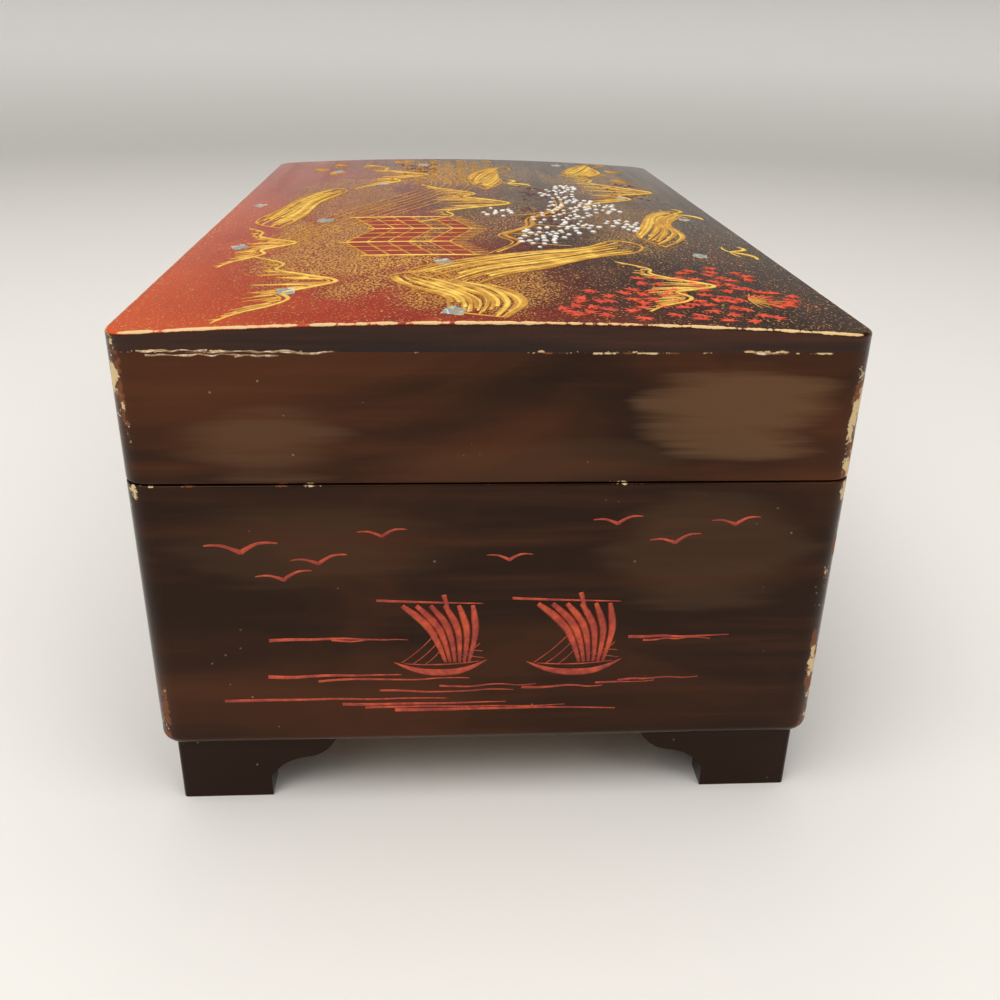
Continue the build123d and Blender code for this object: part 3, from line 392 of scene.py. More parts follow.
def boat(u, v, size, lean):
    """A small square-rigged boat: hull, bent cloths of the sail, yard, mast and stays."""
    lines = [[(u + a * size, v + b * size, width) for a, b, width in part] for part in (hull, gunwale)]
    yard = v + 1.75 * size
    lines.append([
        (u - 1.35 * size, yard + 0.06 * size, 0.4),
        (u - 0.4 * size, yard, 0.34),
        (u + 0.9 * size, yard - 0.04 * size, 0.14),
    ])
    lines.append([(u + 0.06 * size, yard + 0.18 * size, 0.7), (u + 0.16 * size, yard - 0.2 * size, 0.5)])
    cloths = 6
    for i in range(cloths):
        share = i / (cloths - 1)
        top = u + (-0.82 + 1.50 * share) * size
        foot = u + (0.10 + 0.50 * share) * size
        belly = u + (-0.06 + 0.86 * share) * size + lean * size
        width = (0.085 - 0.012 * share) * size
        lines.append([
            (top, yard - 0.08 * size, 0.6 * width),
            (0.45 * top + 0.55 * belly, v + 1.36 * size, 1.2 * width),
            (belly, v + 0.90 * size, 0.95 * width),
            (foot, v + 0.24 * size, 0.45 * width),
        ])
    for foot, head in stays:
        sag = ((foot[0] + head[0]) / 2 + 0.08, (foot[1] + head[1]) / 2 - 0.04)
        lines.append([(u + a * size, v + b * size, rope_width) for a, b in (foot, sag, head)])
    for rope in sheets:
        lines.append([(u + a * size, v + b * size, rope_width) for a, b in rope])
    return lines


def seascape(gulls, boats, bars, seed):
    """All lines of one face's picture. A bar of water is a level stroke with a slight waver."""
    hand = random.Random(seed)
    lines = []
    for u, v, reach, tilt in gulls:
        lines += gull(u, v, reach, tilt)
    for u, v, size, lean in boats:
        lines += boat(u, v, size, lean)
    steps = 7
    for low, high, v, width in bars:
        line = []
        for i in range(steps):
            share = i / (steps - 1)
            half_width = 1.3 * width * (1.0 - 0.75 * share) + 0.05
            line.append((low + (high - low) * share, v + hand.uniform(-0.45, 0.45), half_width))
        lines.append(line)
    return lines


right_gulls = [(-63, 80.5, 9, 0.02), (-44, 77.0, 7, 0.10), (-53, 72.5, 7, 0.10), (-28, 84.5, 6.2, 0.04)]
right_gulls += [(4, 77.5, 5.8, 0.0), (31, 87.5, 6.2, 0.06), (46, 82.0, 6.5, 0.12), (61, 87.0, 6.2, 0.06)]
right_boats = [(-13.5, 43.5, 12.2, -0.04), (22.0, 43.0, 12.6, -0.02)]
right_bars = [(-58, -27, 54.2, 0.36), (-42, -22, 53.6, 0.2), (-59, -24, 42.6, 0.4), (-46, -6, 41.4, 0.26)]
right_bars += [(-71, -12, 35.0, 0.34), (-30, 6, 37.4, 0.24), (-40, 4, 33.4, 0.36), (-26, 34, 31.0, 0.4)]
right_bars += [(-34, 20, 32.0, 0.25), (-14, 12, 38.9, 0.2), (8, 30, 38.2, 0.3), (34, 56, 40.2, 0.24)]
right_bars += [(36, 63, 53.8, 0.34), (40, 58, 52.8, 0.2), (28, 44, 39.2, 0.2)]
left_gulls = [(-48, 84, 7, 0.05), (-36, 79, 6, 0.1), (20, 86, 7, 0.03), (38, 80, 6, 0.1), (52, 85, 7, 0.02)]
left_boats = [(-24, 44, 12, -0.03)]
left_bars = [(-62, -36, 50.0, 0.3), (-50, -4, 41.0, 0.36), (-34, 30, 36.0, 0.3), (-12, 46, 33.0, 0.4)]
left_bars += [(14, 58, 46.0, 0.3), (26, 64, 41.0, 0.25)]
front_gulls = [(-92, 84, 8, 0.05), (-74, 79, 7, 0.1), (-28, 86, 7, 0.0), (64, 82, 8, 0.05), (88, 86, 7, 0.1)]
front_gulls += [(104, 80, 6, 0.0)]
front_bars = [(-128, -84, 66.0, 0.36), (-104, -58, 63.0, 0.28), (-20, 34, 65.5, 0.36), (4, 62, 62.5, 0.3)]
front_bars += [(82, 126, 66.5, 0.34), (98, 134, 63.5, 0.25), (-64, -30, 69.0, 0.25)]
for name, lay, picture in (
    ("right_end_picture", on_right_end, seascape(right_gulls, right_boats, right_bars, 3)),
    ("left_end_picture", on_left_end, seascape(left_gulls, left_boats, left_bars, 5)),
    ("front_picture", on_front, seascape(front_gulls, [], front_bars, 7)),
):
    paint_lines(name, picture, lay, vermilion, "case")

# Drawer box, its runners and the brass drop pull.
# Sides and back are planed softwood, rubbed with wax. The pull is a cast plate with two posts
# and a bent wire bail, held by two round-headed pins.
pine_light, pine_dark = (0.60, 0.40, 0.20), (0.42, 0.25, 0.11)
dress(wood("pine", pine_light, pine_dark, along_depth, 0.5), "drawer_sides", "drawer_runners")
dress(wood("pine_across", pine_light, pine_dark, along_length, 0.5), "drawer_back")


def metal(name, colour, dull, roughness, tarnish):
    """Polished metal with a cloudy tarnish and fine rubbing marks."""
    made = material(name, colour, roughness, Metallic=1.0)
    cloud = grain(made, 90, 4, 0.6)
    rubbed = grain(made, 220, 3, 0.6, stretch=(1, 1, 12))
    tone = blend(span(cloud, 0.35, 0.75, 0.0, tarnish), colour, dull)
    gloss = span(cloud + rubbed, 0.7, 1.3, roughness, roughness + 0.25)
    finish_with(made, tone, gloss, rubbed, 0.00005, 0.2)
    return made


brass = metal("brass", (0.80, 0.56, 0.24), (0.32, 0.19, 0.07), 0.24, 0.7)
dress(brass, "pull_plate", "drawer_bail", "hinge_body_leaves", "hinge_lid_leaves", "hinge_pins")


def as_mesh(name, shape):
    """A bmesh as a mesh of its own."""
    mesh = bpy.data.meshes.new(name)
    shape.to_mesh(mesh)
    shape.free()
    return mesh


def screw_heads(name, places, axis, radius, height, made, body, seed):
    """Low domed heads, cut along both sides of a slot whose ends are filed down, each at its own turn."""
    hand = random.Random(seed)
    facing = Vector(axis).to_track_quat("Z", "Y").to_matrix().to_4x4()
    slot_half = 0.13 * radius
    heads = bmesh.new()
    for spot in places:
        head = bmesh.new()
        bmesh.ops.create_cone(
            head, cap_ends=True, segments=20, radius1=radius, radius2=0.62 * radius, depth=height
        )
        for offset in (-slot_half, slot_half):
            whole = head.verts[:] + head.edges[:] + head.faces[:]
            bmesh.ops.bisect_plane(head, geom=whole, plane_co=(0, offset, 0), plane_no=(0, 1, 0))
        for vertex in head.verts:
            if vertex.co.z > 0 and abs(vertex.co.y) < 0.99 * slot_half:
                vertex.co.z -= 0.5 * height
        turned = facing @ Matrix.Rotation(hand.uniform(0, math.pi), 4, "Z")
        bmesh.ops.transform(head, matrix=Matrix.Translation(spot) @ turned, verts=head.verts)
        part = as_mesh(name, head)
        heads.from_mesh(part)
        bpy.data.meshes.remove(part)
    mesh = as_mesh(name, heads)
    outward(mesh)
    finished(name, mesh, made, body, smooth=False)


pull_screw_radius = 1.7 * mm
pin_inset = 3.2 * mm
plate_thickness = 0.7 * mm
plate_low, plate_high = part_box("pull_plate")
pull_pins = []
for side in (-1, 1):
    pin_z = (plate_low.z + plate_high.z) / 2
    pull_pins.append((side * (plate_high.x - pin_inset), -half_depth - plate_thickness, pin_z))
screw_heads("pull_screws", pull_pins, (0, -1, 0), pull_screw_radius, 0.8 * mm, brass, "drawer", 11)

# Musical movement: cast bedplate, brass cylinder and barrel, steel comb, pinions and arbors.
# The comb's bright teeth are polished above and left scaled at the root, and the cylinder's
# pins are ground steel set in brass.
cast_metal = metal("cast_metal", (0.62, 0.61, 0.58), (0.40, 0.39, 0.37), 0.34, 0.6)
steel = metal("steel", (0.66, 0.66, 0.68), (0.36, 0.34, 0.33), 0.22, 0.4)
movement_brass = metal("movement_brass", (0.86, 0.62, 0.28), (0.52, 0.34, 0.12), 0.2, 0.4)
dress(cast_metal, "bedplate", "governor_bracket")
dress(steel, "comb", "cylinder_arbor", "cylinder_pinion", "governor_pinion", "mainspring", "winding_arbor")
dress(steel, "winding_key", "movement_screws", "stop_rod", "stop_spring", "stop_guide")
dress(movement_brass, "music_cylinder", "spring_barrel", "barrel_cover", "cylinder_wheel", "governor_fly")
comb_screw_pitch = 6.5 * mm
comb_screw_radius = 1.7 * mm
comb_low, comb_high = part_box("comb")
comb_middle = (comb_low.x + comb_high.x) / 2
comb_screws = []
for step in (-1, 0, 1):
    screw_x = comb_middle + step * comb_screw_pitch
    comb_screws.append((screw_x, comb_low.y + 4 * mm, comb_high.z + 0.35 * mm))
screw_heads("comb_screws", comb_screws, (0, 0, 1), comb_screw_radius, 0.9 * mm, steel, "case", 13)


# Velvet on the lining, partitions and window frame, and the padded floors and ring rolls.
# Short red velvet is glued over card for the flat pieces. The pads are stuffed with wadding,
# so their tops are crowned and their edges are drawn in.
def velvet_cloth(name, deep, lit):
    """Short pile with a soft rim of light and patches stroked to and fro."""
    made = material(name, deep, 0.85, Sheen_Weight=0.7, Sheen_Roughness=0.35, Sheen_Tint=(*lit, 1))
    stroked = grain(made, 34, 3, 0.55, 1.0)
    pile = grain(made, 900, 2, 0.7)
    colour = blend(span(stroked, 0.35, 0.68), deep, scaled(deep, 1.7))
    colour = blend(span(pile, 0.3, 0.8, 0.0, 0.4), colour, scaled(deep, 0.45))
    finish_with(made, colour, None, pile + stroked, 0.0003, 0.5)
    return made


velvet = velvet_cloth("velvet", (0.16, 0.008, 0.012), (1.0, 0.35, 0.33))
dress(velvet, "wall_lining", "window_frame")
dress(velvet, "partition_left", "partition_well", "partition_middle", "partition_back")


def cushion_shape(rooms, rise_low, rise_high, inset, rounding):
    """Closed blocks with rounded tops, one for each room, a little smaller than their places."""
    shape = bmesh.new()
    for low, high in rooms:
        size = Vector((high[0] - low[0] - 2 * inset, high[1] - low[1] - 2 * inset, rise_high - rise_low))
        middle = Vector(((low[0] + high[0]) / 2, (low[1] + high[1]) / 2, (rise_low + rise_high) / 2))
        matrix = Matrix.Translation(middle) @ Matrix.Diagonal((*size, 1))
        bmesh.ops.create_cube(shape, size=1.0, matrix=matrix)
    top = rise_high - 0.01 * mm
    rims = [e for e in shape.edges if all(v.co.z > top for v in e.verts)]
    bmesh.ops.bevel(
        shape, geom=rims, offset=rounding, segments=4, profile=0.5, affect="EDGES", material=-1,
        clamp_overlap=True,
    )
    return shape


def take_shape(piece):
    """Keep what a piece's modifiers have made of it, and drop them."""
    evaluated = piece.evaluated_get(bpy.context.evaluated_depsgraph_get())
    mesh = bpy.data.meshes.new_from_object(evaluated)
    piece.modifiers.clear()
    piece.data = mesh


def stuffed(name, rooms, rise_low, rise_high, inset, rounding, voxel, cap, crown):
    """Cushions blown up by a short cloth simulation, then held within a cap above their start."""
    blocks = cushion_shape(rooms, rise_low, rise_high, inset, rounding)
    piece = bpy.data.objects.new(name, as_mesh(name, blocks))
    scene = bpy.context.scene
    scene.collection.objects.link(piece)
    remesh = piece.modifiers.new("even", "REMESH")
    remesh.mode = "VOXEL"
    remesh.voxel_size = voxel
    take_shape(piece)
    start = [v.co.copy() for v in piece.data.vertices]
    frames = 20
    cloth = piece.modifiers.new("cloth", "CLOTH")
    cloth.settings.use_pressure = True
    cloth.settings.uniform_pressure_force = 4.0
    cloth.settings.effector_weights.gravity = 0
    cloth.settings.quality = 5
    cloth.point_cache.frame_start = 1
    cloth.point_cache.frame_end = frames
    for step in range(1, frames + 1):
        scene.frame_set(step)
    take_shape(piece)
    scene.frame_set(1)
    for vertex, first in zip(piece.data.vertices, start):
        move = vertex.co - first
        if move.length > cap:
            move = move.normalized() * cap
        vertex.co = first + move
        vertex.co.z = max(vertex.co.z, rise_low)
    drawn_in = 9 * mm
    for vertex in piece.data.vertices:
        x, y, z = vertex.co
        for low, high in rooms:
            if low[0] <= x <= high[0] and low[1] <= y <= high[1]:
                edge = min(x - low[0], high[0] - x, y - low[1], high[1] - y)
                share = (z - rise_low) / (rise_high - rise_low)
                dimple = noise.noise(vertex.co * 60) * 0.35 * mm
                vertex.co.z += share * (crown * min(edge / drawn_in, 1.0) ** 0.6 + dimple)
    subdivision = piece.modifiers.new("smooth", "SUBSURF")
    subdivision.levels = 1
    subdivision.render_levels = 1
    for face in piece.data.polygons:
        face.use_smooth = True
    return piece


pad_velvet = velvet_cloth("pad_velvet", (0.19, 0.010, 0.014), (1.0, 0.4, 0.36))
lining_thickness = 1.2 * mm
lining_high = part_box("wall_lining")[1]
lining_x, lining_y = lining_high.x - lining_thickness, lining_high.y - lining_thickness
left_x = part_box("partition_left")[1].x
middle_low, middle_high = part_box("partition_middle")
back_low, back_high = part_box("partition_back")
pad_low, pad_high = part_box("floor_pads")
pad_rooms = [
    ((left_x, -lining_y), (lining_x, middle_low.y)),
    ((left_x, middle_high.y), (back_low.x, lining_y)),
    ((back_high.x, middle_high.y), (lining_x, lining_y)),
]
floor_cushions = stuffed(
    "floor_cushions", pad_rooms, pad_low.z, pad_high.z - 1.6 * mm,
    inset=1.1 * mm, rounding=1.8 * mm, voxel=2.0 * mm, cap=0.9 * mm, crown=1.6 * mm,
)
drawer_pad_low, drawer_pad_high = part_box("drawer_pad")
drawer_room = [((drawer_pad_low.x, drawer_pad_low.y), (drawer_pad_high.x, drawer_pad_high.y))]
drawer_cushion = stuffed(
    "drawer_cushion", drawer_room, drawer_pad_low.z, drawer_pad_high.z - 1.2 * mm,
    inset=1.1 * mm, rounding=1.2 * mm, voxel=2.0 * mm, cap=0.9 * mm, crown=1.2 * mm,
)
roll_low, roll_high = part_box("ring_rolls")
roll_count = 6
roll_pitch = (roll_high.x - roll_low.x) / roll_count
roll_rooms = []
for i in range(roll_count):
    first = roll_low.x + i * roll_pitch
    roll_rooms.append(((first, roll_low.y), (first + roll_pitch, roll_high.y)))
roll_cushions = stuffed(
    "roll_cushions", roll_rooms, roll_low.z, roll_high.z - 1.2 * mm,
    inset=0.9 * mm, rounding=4.4 * mm, voxel=1.5 * mm, cap=0.8 * mm, crown=0.9 * mm,
)
for piece, stands_for, body, fill in (
    (floor_cushions, "floor_pads", "case", 0.7),
    (drawer_cushion, "drawer_pad", "drawer", 0.6),
    (roll_cushions, "ring_rolls", "case", 0.9),
):
    piece.data.materials.clear()
    piece.data.materials.append(pad_velvet)
    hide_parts(stands_for)
    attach(piece, body)

# Window over the movement.
# A thin clear pane is dropped into the rebate of its frame, and a little smeared by fingers.
pane = material("pane", (0.96, 0.98, 0.97), 0.03, Transmission_Weight=1.0, IOR=1.46)
finish_with(pane, None, span(grain(pane, 45, 4, 0.6, 1.2), 0.45, 0.75, 0.02, 0.14))
dress(pane, "window_pane")

# Lid frame, and the striker block inside it that presses on the stop rod.
# The frame is four boards glued at the corners and lacquered as the body is, with the wear
# heaviest where hands take the lid. The striker is a painted block glued to the back board.
lid_wear, lid_warmth = 1.9, 1.5
lid_rims = ((seam_height + 0.4 * mm, 0.75), (lid_low.z, 0.9))
lid_brown = (0.066, 0.019, 0.0062)
# Painted reflections on the lid's end boards: centre and reach in millimetres and strength of each pale
# patch.
lid_painted_reflections = (((-56, 111), (24, 11), 0.34), ((60, 117), (24, 13), 0.5), ((8, 104), (40, 6), 0.1))
for name, painted_reflections, boards in (
    ("lid_end_lacquer", lid_painted_reflections, ("lid_right_board", "lid_left_board")),
    ("lid_side_lacquer", (), ("lid_front_board", "lid_back_board")),
):
    dress(lacquer(name, lid_wear, lid_rims, lid_brown, True, painted_reflections, lid_warmth), *boards)
striker_paint = material("striker_paint", (0.05, 0.016, 0.01), 0.45)
finish_with(striker_paint, None, None, grain(striker_paint, 180, 3), 0.0001, 0.4)
dress(striker_paint, "lid_striker")

# Filler along the joint between the top board and the frame's right end.
# It stands out in a crackled cream line where the top board has shrunk from the frame.
crack_filler = material("crack_filler", filler_cream, 0.6)
crumbs = span(grain(crack_filler, 500, 3, 0.6), 0.4, 0.65)
finish_with(crack_filler, blend(crumbs, (0.30, 0.17, 0.08), (0.74, 0.62, 0.42)))
hand = random.Random(9)
crack_step = 1.6
crack_runs = ((-82, -66, 131.7), (-80, -58, 130.7), (-66, -46, 131.5))
crack_runs += ((-60, -50, 130.5), (-50, -38, 131.3), (60, 66, 131.2))
crack_lines = []
for low, high, level in crack_runs:
    steps = int((high - low) / crack_step)
    line = []
    for i in range(steps + 1):
        along_run = low + (high - low) * i / steps
        line.append((along_run, level + hand.uniform(-0.35, 0.35), hand.uniform(0.08, 0.34)))
    crack_lines.append(line)
paint_lines("filler_crack", crack_lines, on_right_end, crack_filler, "lid", 0.2, 0)

# Top board of the lid: a thin board, cambered from front to back and lacquered like the rest.
# Its face is rubbed red at the front and dark at the back, then sprinkled with gold dust in
# drifts, and the arris all round has worn to the pale filler.
board_edge = 4.2 * mm
camber = lid_high.z - lid_low.z - board_edge
camber_radius = (half_depth**2 + camber**2) / (2 * camber)
ground_dark, ground_red = (0.019, 0.0055, 0.0035), (0.30, 0.022, 0.009)
ground_orange, ground_cloud = (0.58, 0.085, 0.022), (0.56, 0.11, 0.03)
ground_rubbed, ground_drift = (0.09, 0.010, 0.005), (0.085, 0.03, 0.008)
dust_deep, dust_bright = (0.50, 0.23, 0.035), (0.70, 0.38, 0.06)
arris_ochre = (0.62, 0.36, 0.12)
dust_drifts = [((62, -40), (70, 30), 1.0), ((-26, -50), (62, 26), 0.7), ((116, -2), (34, 26), 0.9)]
dust_drifts += [((-96, -4), (52, 44), 0.6), ((20, 52), (64, 22), 0.6)]
dust_drifts += [((-70, 54), (50, 26), 0.6), ((6, 4), (60, 22), 0.5)]

lid_ground = material(
    "lid_ground", (0.3, 0.05, 0.02), 0.2, Coat_Weight=0.08, Coat_Roughness=0.04, Specular_IOR_Level=0.2
)
x, y, z, far_x, far_y = apart(lid_ground)
wander = grain(lid_ground, 11, 4, 0.55, 0.7)
cloud = grain(lid_ground, 34, 4, 0.6, 0.8)
brushed = grain(lid_ground, 150, 4, 0.6, stretch=(0.05, 1.0, 1.0))
towards_front = y * -6.6 + x * 1.6 + wander * 0.9
ground = blend(span(towards_front, 0.22, 0.84), ground_dark, ground_red)
ground = blend(span(towards_front, 0.72, 1.28), ground, ground_orange)
ground = blend(span(cloud, 0.55, 0.8, 0.0, 0.3), ground, ground_cloud)
ground = blend(span(brushed, 0.45, 0.8, 0.0, 0.22), ground, ground_rubbed)
drift = soft_patches(x, y, dust_drifts, (cloud - 0.5) * 2.4)
speck = grain(lid_ground, 1500, 2, 0.6)
sparse = node(lid_ground, "TexVoronoi", "Distance", Vector=place(lid_ground), Scale=420.0)
grains = span(sparse, 0.10, 0.18, 1.0, 0.0) * span(cloud, 0.48, 0.62)
dust = span(speck + drift * 0.13, 0.62, 0.68).most(grains)
ground = blend(drift * 0.45, ground, ground_drift)
colour = blend(dust, ground, blend(span(wander, 0.3, 0.7), dust_deep, dust_bright))
below = y * y * (-0.5 / camber_radius) + lid_high.z - z
edge_streaks = grain(lid_ground, 150, 4, 0.6, stretch=streak_level)
edge_lacquer = blend(span(edge_streaks, 0.35, 0.75), lacquer_dark, lid_brown)
colour = blend(span(below, 0.5 * mm, 0.7 * mm), colour, edge_lacquer)
inset = inset_from_sides(far_x, far_y)
arris = span(inset, 0.3 * mm, 1.6 * mm, 1.0, 0.0) * span(below, 0.3 * mm, 1.1 * mm, 1.0, 0.0)
arris = arris.most(near_corner(far_x, far_y) * 0.6)
clumps = span(grain(lid_ground, 24, 2, 0.5, 1.0), 0.42, 0.62, 0.2, 1.0)
arris = arris.most(near_level(z, lid_low.z) * clumps * 0.75)
colour = blend(chipped(lid_ground, arris, 170, 0.86), colour, blend(speck, arris_ochre, filler_cream))
gloss = span(brushed, 0.3, 0.7, 0.08, 0.18).most(dust * 0.36)
finish_with(lid_ground, colour, gloss, brushed * 0.2 + dust * 0.5, 0.0001, 0.4)
dress(lid_ground, "lid_board")

# Mirror under the lid, its gilt beading and the satin round the lid's walls.
# The glass is pressed against the top board by the beading, which is pinned to the walls, and
# its silvering has begun to spot. The satin is glued over card.
silver = (0.90, 0.92, 0.92)
silvered = material("silvered", silver, 0.02, Metallic=1.0)
foxing = grain(silvered, 26, 5, 0.65)
silver_tone = blend(span(foxing, 0.66, 0.78, 0.0, 0.6), silver, (0.42, 0.38, 0.32))
finish_with(silvered, silver_tone, span(foxing, 0.5, 0.8, 0.015, 0.12))
dress(silvered, "lid_mirror")
dress(metal("gilding", (0.74, 0.50, 0.19), (0.38, 0.17, 0.06), 0.38, 0.8), "mirror_beading")
satin = material("satin", (0.42, 0.035, 0.04), 0.38, Sheen_Weight=0.3, Anisotropic=0.5, Sheen_Roughness=0.3)
threads = grain(satin, 420, 3, 0.6, stretch=(1, 1, 0.05))
finish_with(satin, blend(threads, (0.30, 0.02, 0.026), (0.52, 0.06, 0.06)), None, threads, 0.0002, 0.4)
dress(satin, "lid_lining")

# Hinge screws: brass, two to each leaf.
# They are countersunk nearly flush, and their slots lie as the screwdriver left them.
hinge_middle = 95.0 * mm
hinge_screw_step = 9.0 * mm
screw_y = half_depth - 3.2 * mm
screw_x = [side * hinge_middle + step * hinge_screw_step for side in (-1, 1) for step in (-1, 1)]
for name, level, facing, body, seed in (
    ("body_hinge_screws", seam_height - 0.03 * mm, 1, "case", 17),
    ("lid_hinge_screws", seam_height + 0.43 * mm, -1, "lid", 19),
):
    spots = [(x, screw_y, level) for x in screw_x]
    screw_heads(name, spots, (0, 0, facing), 1.5 * mm, 0.24 * mm, brass, body, seed)


# Picture on the lid: a landscape in gold, white and red, with its foot at the front edge.
# Mist, hills and a stream are gold lacquer laid on thickly and combed while wet. Blossoms are
# dabs of white, maple leaves dabs of red, and chips of mother-of-pearl are set among them.
def on_lid(u, v, w):
    drop = camber_radius - math.sqrt(camber_radius**2 - v**2)
    return Vector((u, v, lid_high.z - drop + w))


def paint(name, colour, dark, roughness, metallic=0.0):
    """Thick paint, uneven in tone and gloss."""
    made = material(name, colour, roughness, Metallic=metallic)
    uneven = grain(made, 240, 4, 0.7)
    tone = blend(span(uneven, 0.35, 0.72), dark, colour)
    finish_with(made, tone, span(uneven, 0.3, 0.7, roughness, roughness + 0.2), uneven, 0.0002, 0.5)
    return made


def lid_lines(name, lines, made, thickness=0.3, sides=1):
    """Brush lines of the lid's picture as one piece."""
    paint_lines(name, lines, on_lid, made, "lid", thickness, sides)


def lid_shapes(name, outlines, made, thick):
    """Filled shapes as one piece: flat faces cut into strips, draped and given a little body."""
    shape = bmesh.new()
    for outline in outlines:
        shape.faces.new([shape.verts.new((u, v, 0)) for u, v in outline])
    bmesh.ops.triangulate(shape, faces=shape.faces)
    low = min(v.co.y for v in shape.verts)
    high = max(v.co.y for v in shape.verts)
    strip = 5
    cuts = max(int((high - low) / strip), 1)
    for i in range(1, cuts):
        whole = shape.verts[:] + shape.edges[:] + shape.faces[:]
        level = low + (high - low) * i / cuts
        bmesh.ops.bisect_plane(shape, geom=whole, plane_co=(0, level, 0), plane_no=(0, 1, 0))
    raised = bmesh.ops.extrude_face_region(shape, geom=shape.faces[:])
    lifted = [part for part in raised["geom"] if isinstance(part, bmesh.types.BMVert)]
    bmesh.ops.translate(shape, verts=lifted, vec=(0, 0, thick))
    bmesh.ops.recalc_face_normals(shape, faces=shape.faces)
    mesh = as_mesh(name, shape)
    draped(mesh, on_lid, lambda height: height - paint_sink)
    finished(name, mesh, made, "lid", smooth=False)


def lid_dabs(name, places, made, sides=8, rise=0.3):
    """Round dabs of thick paint as one piece, each a low dome."""
    shape = bmesh.new()
    for u, v, reach, turn in places:
        matrix = Matrix.Translation((u, v, rise * reach * 0.5)) @ Matrix.Rotation(turn, 4, "Z")
        matrix = matrix @ Matrix.Diagonal((reach, 0.78 * reach, rise * reach, 1))
        bmesh.ops.create_cone(
            shape, cap_ends=True, segments=sides, radius1=1.0, radius2=0.55, depth=1.0, matrix=matrix
        )
    mesh = as_mesh(name, shape)
    draped(mesh, on_lid, lambda height: height - paint_sink)
    outward(mesh)
    finished(name, mesh, made, "lid")


def along(points, count, half_width, taper=0.7):
    """A smooth open brush line through a few points, thinning to its ends."""
    line = []
    last = len(points) - 1
    for i in range(count):
        t = i / (count - 1) * last
        k = min(int(t), last - 1)
        a, b = Vector(points[max(k - 1, 0)]), Vector(points[k])
        c, d = Vector(points[k + 1]), Vector(points[min(k + 2, last)])
        t -= k
        spot = 2 * b + (c - a) * t + (2 * a - 5 * b + 4 * c - d) * t**2
        spot = (spot + (3 * b - a - 3 * c + d) * t**3) / 2
        swell = math.sin(math.pi * (i + 0.5) / count)
        line.append((spot.x, spot.y, half_width * (1 - taper + taper * swell)))
    return line


gold_paint = paint("gold_paint", (0.78, 0.43, 0.055), (0.46, 0.20, 0.025), 0.36, 0.15)
pale_gold = paint("pale_gold", (0.93, 0.68, 0.14), (0.72, 0.42, 0.06), 0.34, 0.1)
hand = random.Random(20)
gold_lines = []
pale_lines = []

# Banks of mist: outlined in gold and filled with long strokes, gold and pale by turns.
# Each stroke runs the length of the bank, and they are combed side by side while wet.
mist_banks = [
    [(118, -6), (104, 4), (94, 18), (80, 30), (70, 46), (58, 50)]
    + [(52, 42), (66, 30), (74, 12), (86, -8), (100, -22)],
    [(148, 2), (134, 8), (120, 4), (112, -8), (100, -14), (104, -26), (116, -22), (128, -12), (142, -10)],
    [(58, 58), (40, 68), (16, 68), (-4, 76), (-14, 74), (-2, 64), (20, 58), (42, 52)],
    [(30, -66), (8, -60), (-20, -58), (-46, -50), (-56, -54), (-40, -64), (-12, -70), (16, -76)],
    [(-50, 6), (-72, 14), (-94, 12), (-114, 20), (-122, 16), (-104, 4), (-76, 0)],
    [(-96, 52), (-112, 62), (-130, 60), (-144, 68), (-146, 60), (-128, 50), (-108, 44)],
]
strokes = 17
for bank in mist_banks:
    half = len(bank) // 2
    spine = list(zip(bank[:half], reversed(bank[-half:])))
    for i in range(strokes):
        share = (i + 0.5) / strokes
        line = [Vector(a).lerp(Vector(b), share) for a, b in spine]
        line = [(spot.x + hand.uniform(-1.2, 1.2), spot.y + hand.uniform(-0.8, 0.8)) for spot in line]
        stroke = along(line, 16, hand.uniform(0.55, 1.0), 0.55)
        marks = pale_lines if i % 2 else gold_lines
        marks.append(stroke[hand.randrange(4):16 - hand.randrange(4)])
    gold_lines.append(along(bank + bank[:1], 40, 0.6, 0.3))

# Hills: a pale ridge with a gold line under it, and folds that run down from the ridge.
# The folds lean away from the peak and get longer where the hill is high.
hill_feet = [(112, -66, 36, 26), (58, -76, 30, 18), (-20, -20, 44, 34)]
hill_feet += [(-92, -46, 38, 28), (-58, 42, 44, 34), (112, 38, 28, 22)]
ridge = [(-1.0, 0.0), (-0.72, 0.34), (-0.50, 0.30), (-0.30, 0.62), (-0.08, 1.0), (0.10, 0.80), (0.26, 0.50)]
ridge += [(0.44, 0.62), (0.62, 0.44), (0.80, 0.16), (1.0, 0.0)]
for x, y, reach, rise in hill_feet:
    flip = hand.choice((-1, 1))
    crest = [(x + flip * a * reach, y + b * rise + hand.uniform(-0.8, 0.8)) for a, b in ridge]
    pale_lines.append(along(crest, 34, 0.75, 0.5))
    gold_lines.append(along([(u, v - 1.9) for u, v in crest[1:-1]], 30, 0.45, 0.5))
    folds = along(crest, 25, 1.0)
    for i in range(1, 24):
        top = Vector(folds[i][:2])
        high = top.y - y
        lean = 0.5 * (top.x - x) / reach + hand.uniform(-0.15, 0.15)
        for k in range(1 + int(high > 0.45 * rise)):
            reach_down = high * hand.uniform(0.30, 0.85)
            foot = top + Vector((lean * reach_down + 1.4 * k, -reach_down))
            middle = (top + foot) / 2 + Vector((-1.6 * lean, 0.6))
            marks = pale_lines if (i + k) % 3 == 0 else gold_lines
            marks.append(along([(top.x + 1.2 * k, top.y - 2.2), tuple(middle), tuple(foot)], 6, 0.46, 0.8))

# Stream: level gold lines that swing together, from the far hills to the front edge.
# Seven lanes drawn with a fine brush, wider apart where the stream turns.
lane_pitch = 3.1
for lane in range(7):
    offset = lane_pitch * lane
    bends = [(-128, 4 - offset), (-96, -2 - offset), (-64, 2 - offset), (-30, -8 - 1.2 * offset)]
    bends += [(4, -26 - 1.2 * offset), (40, -46 - offset), (70, -62 - 0.6 * offset)]
    gold_lines.append(along([(x, y + hand.uniform(-0.8, 0.8)) for x, y in bends], 34, 0.34, 0.6))

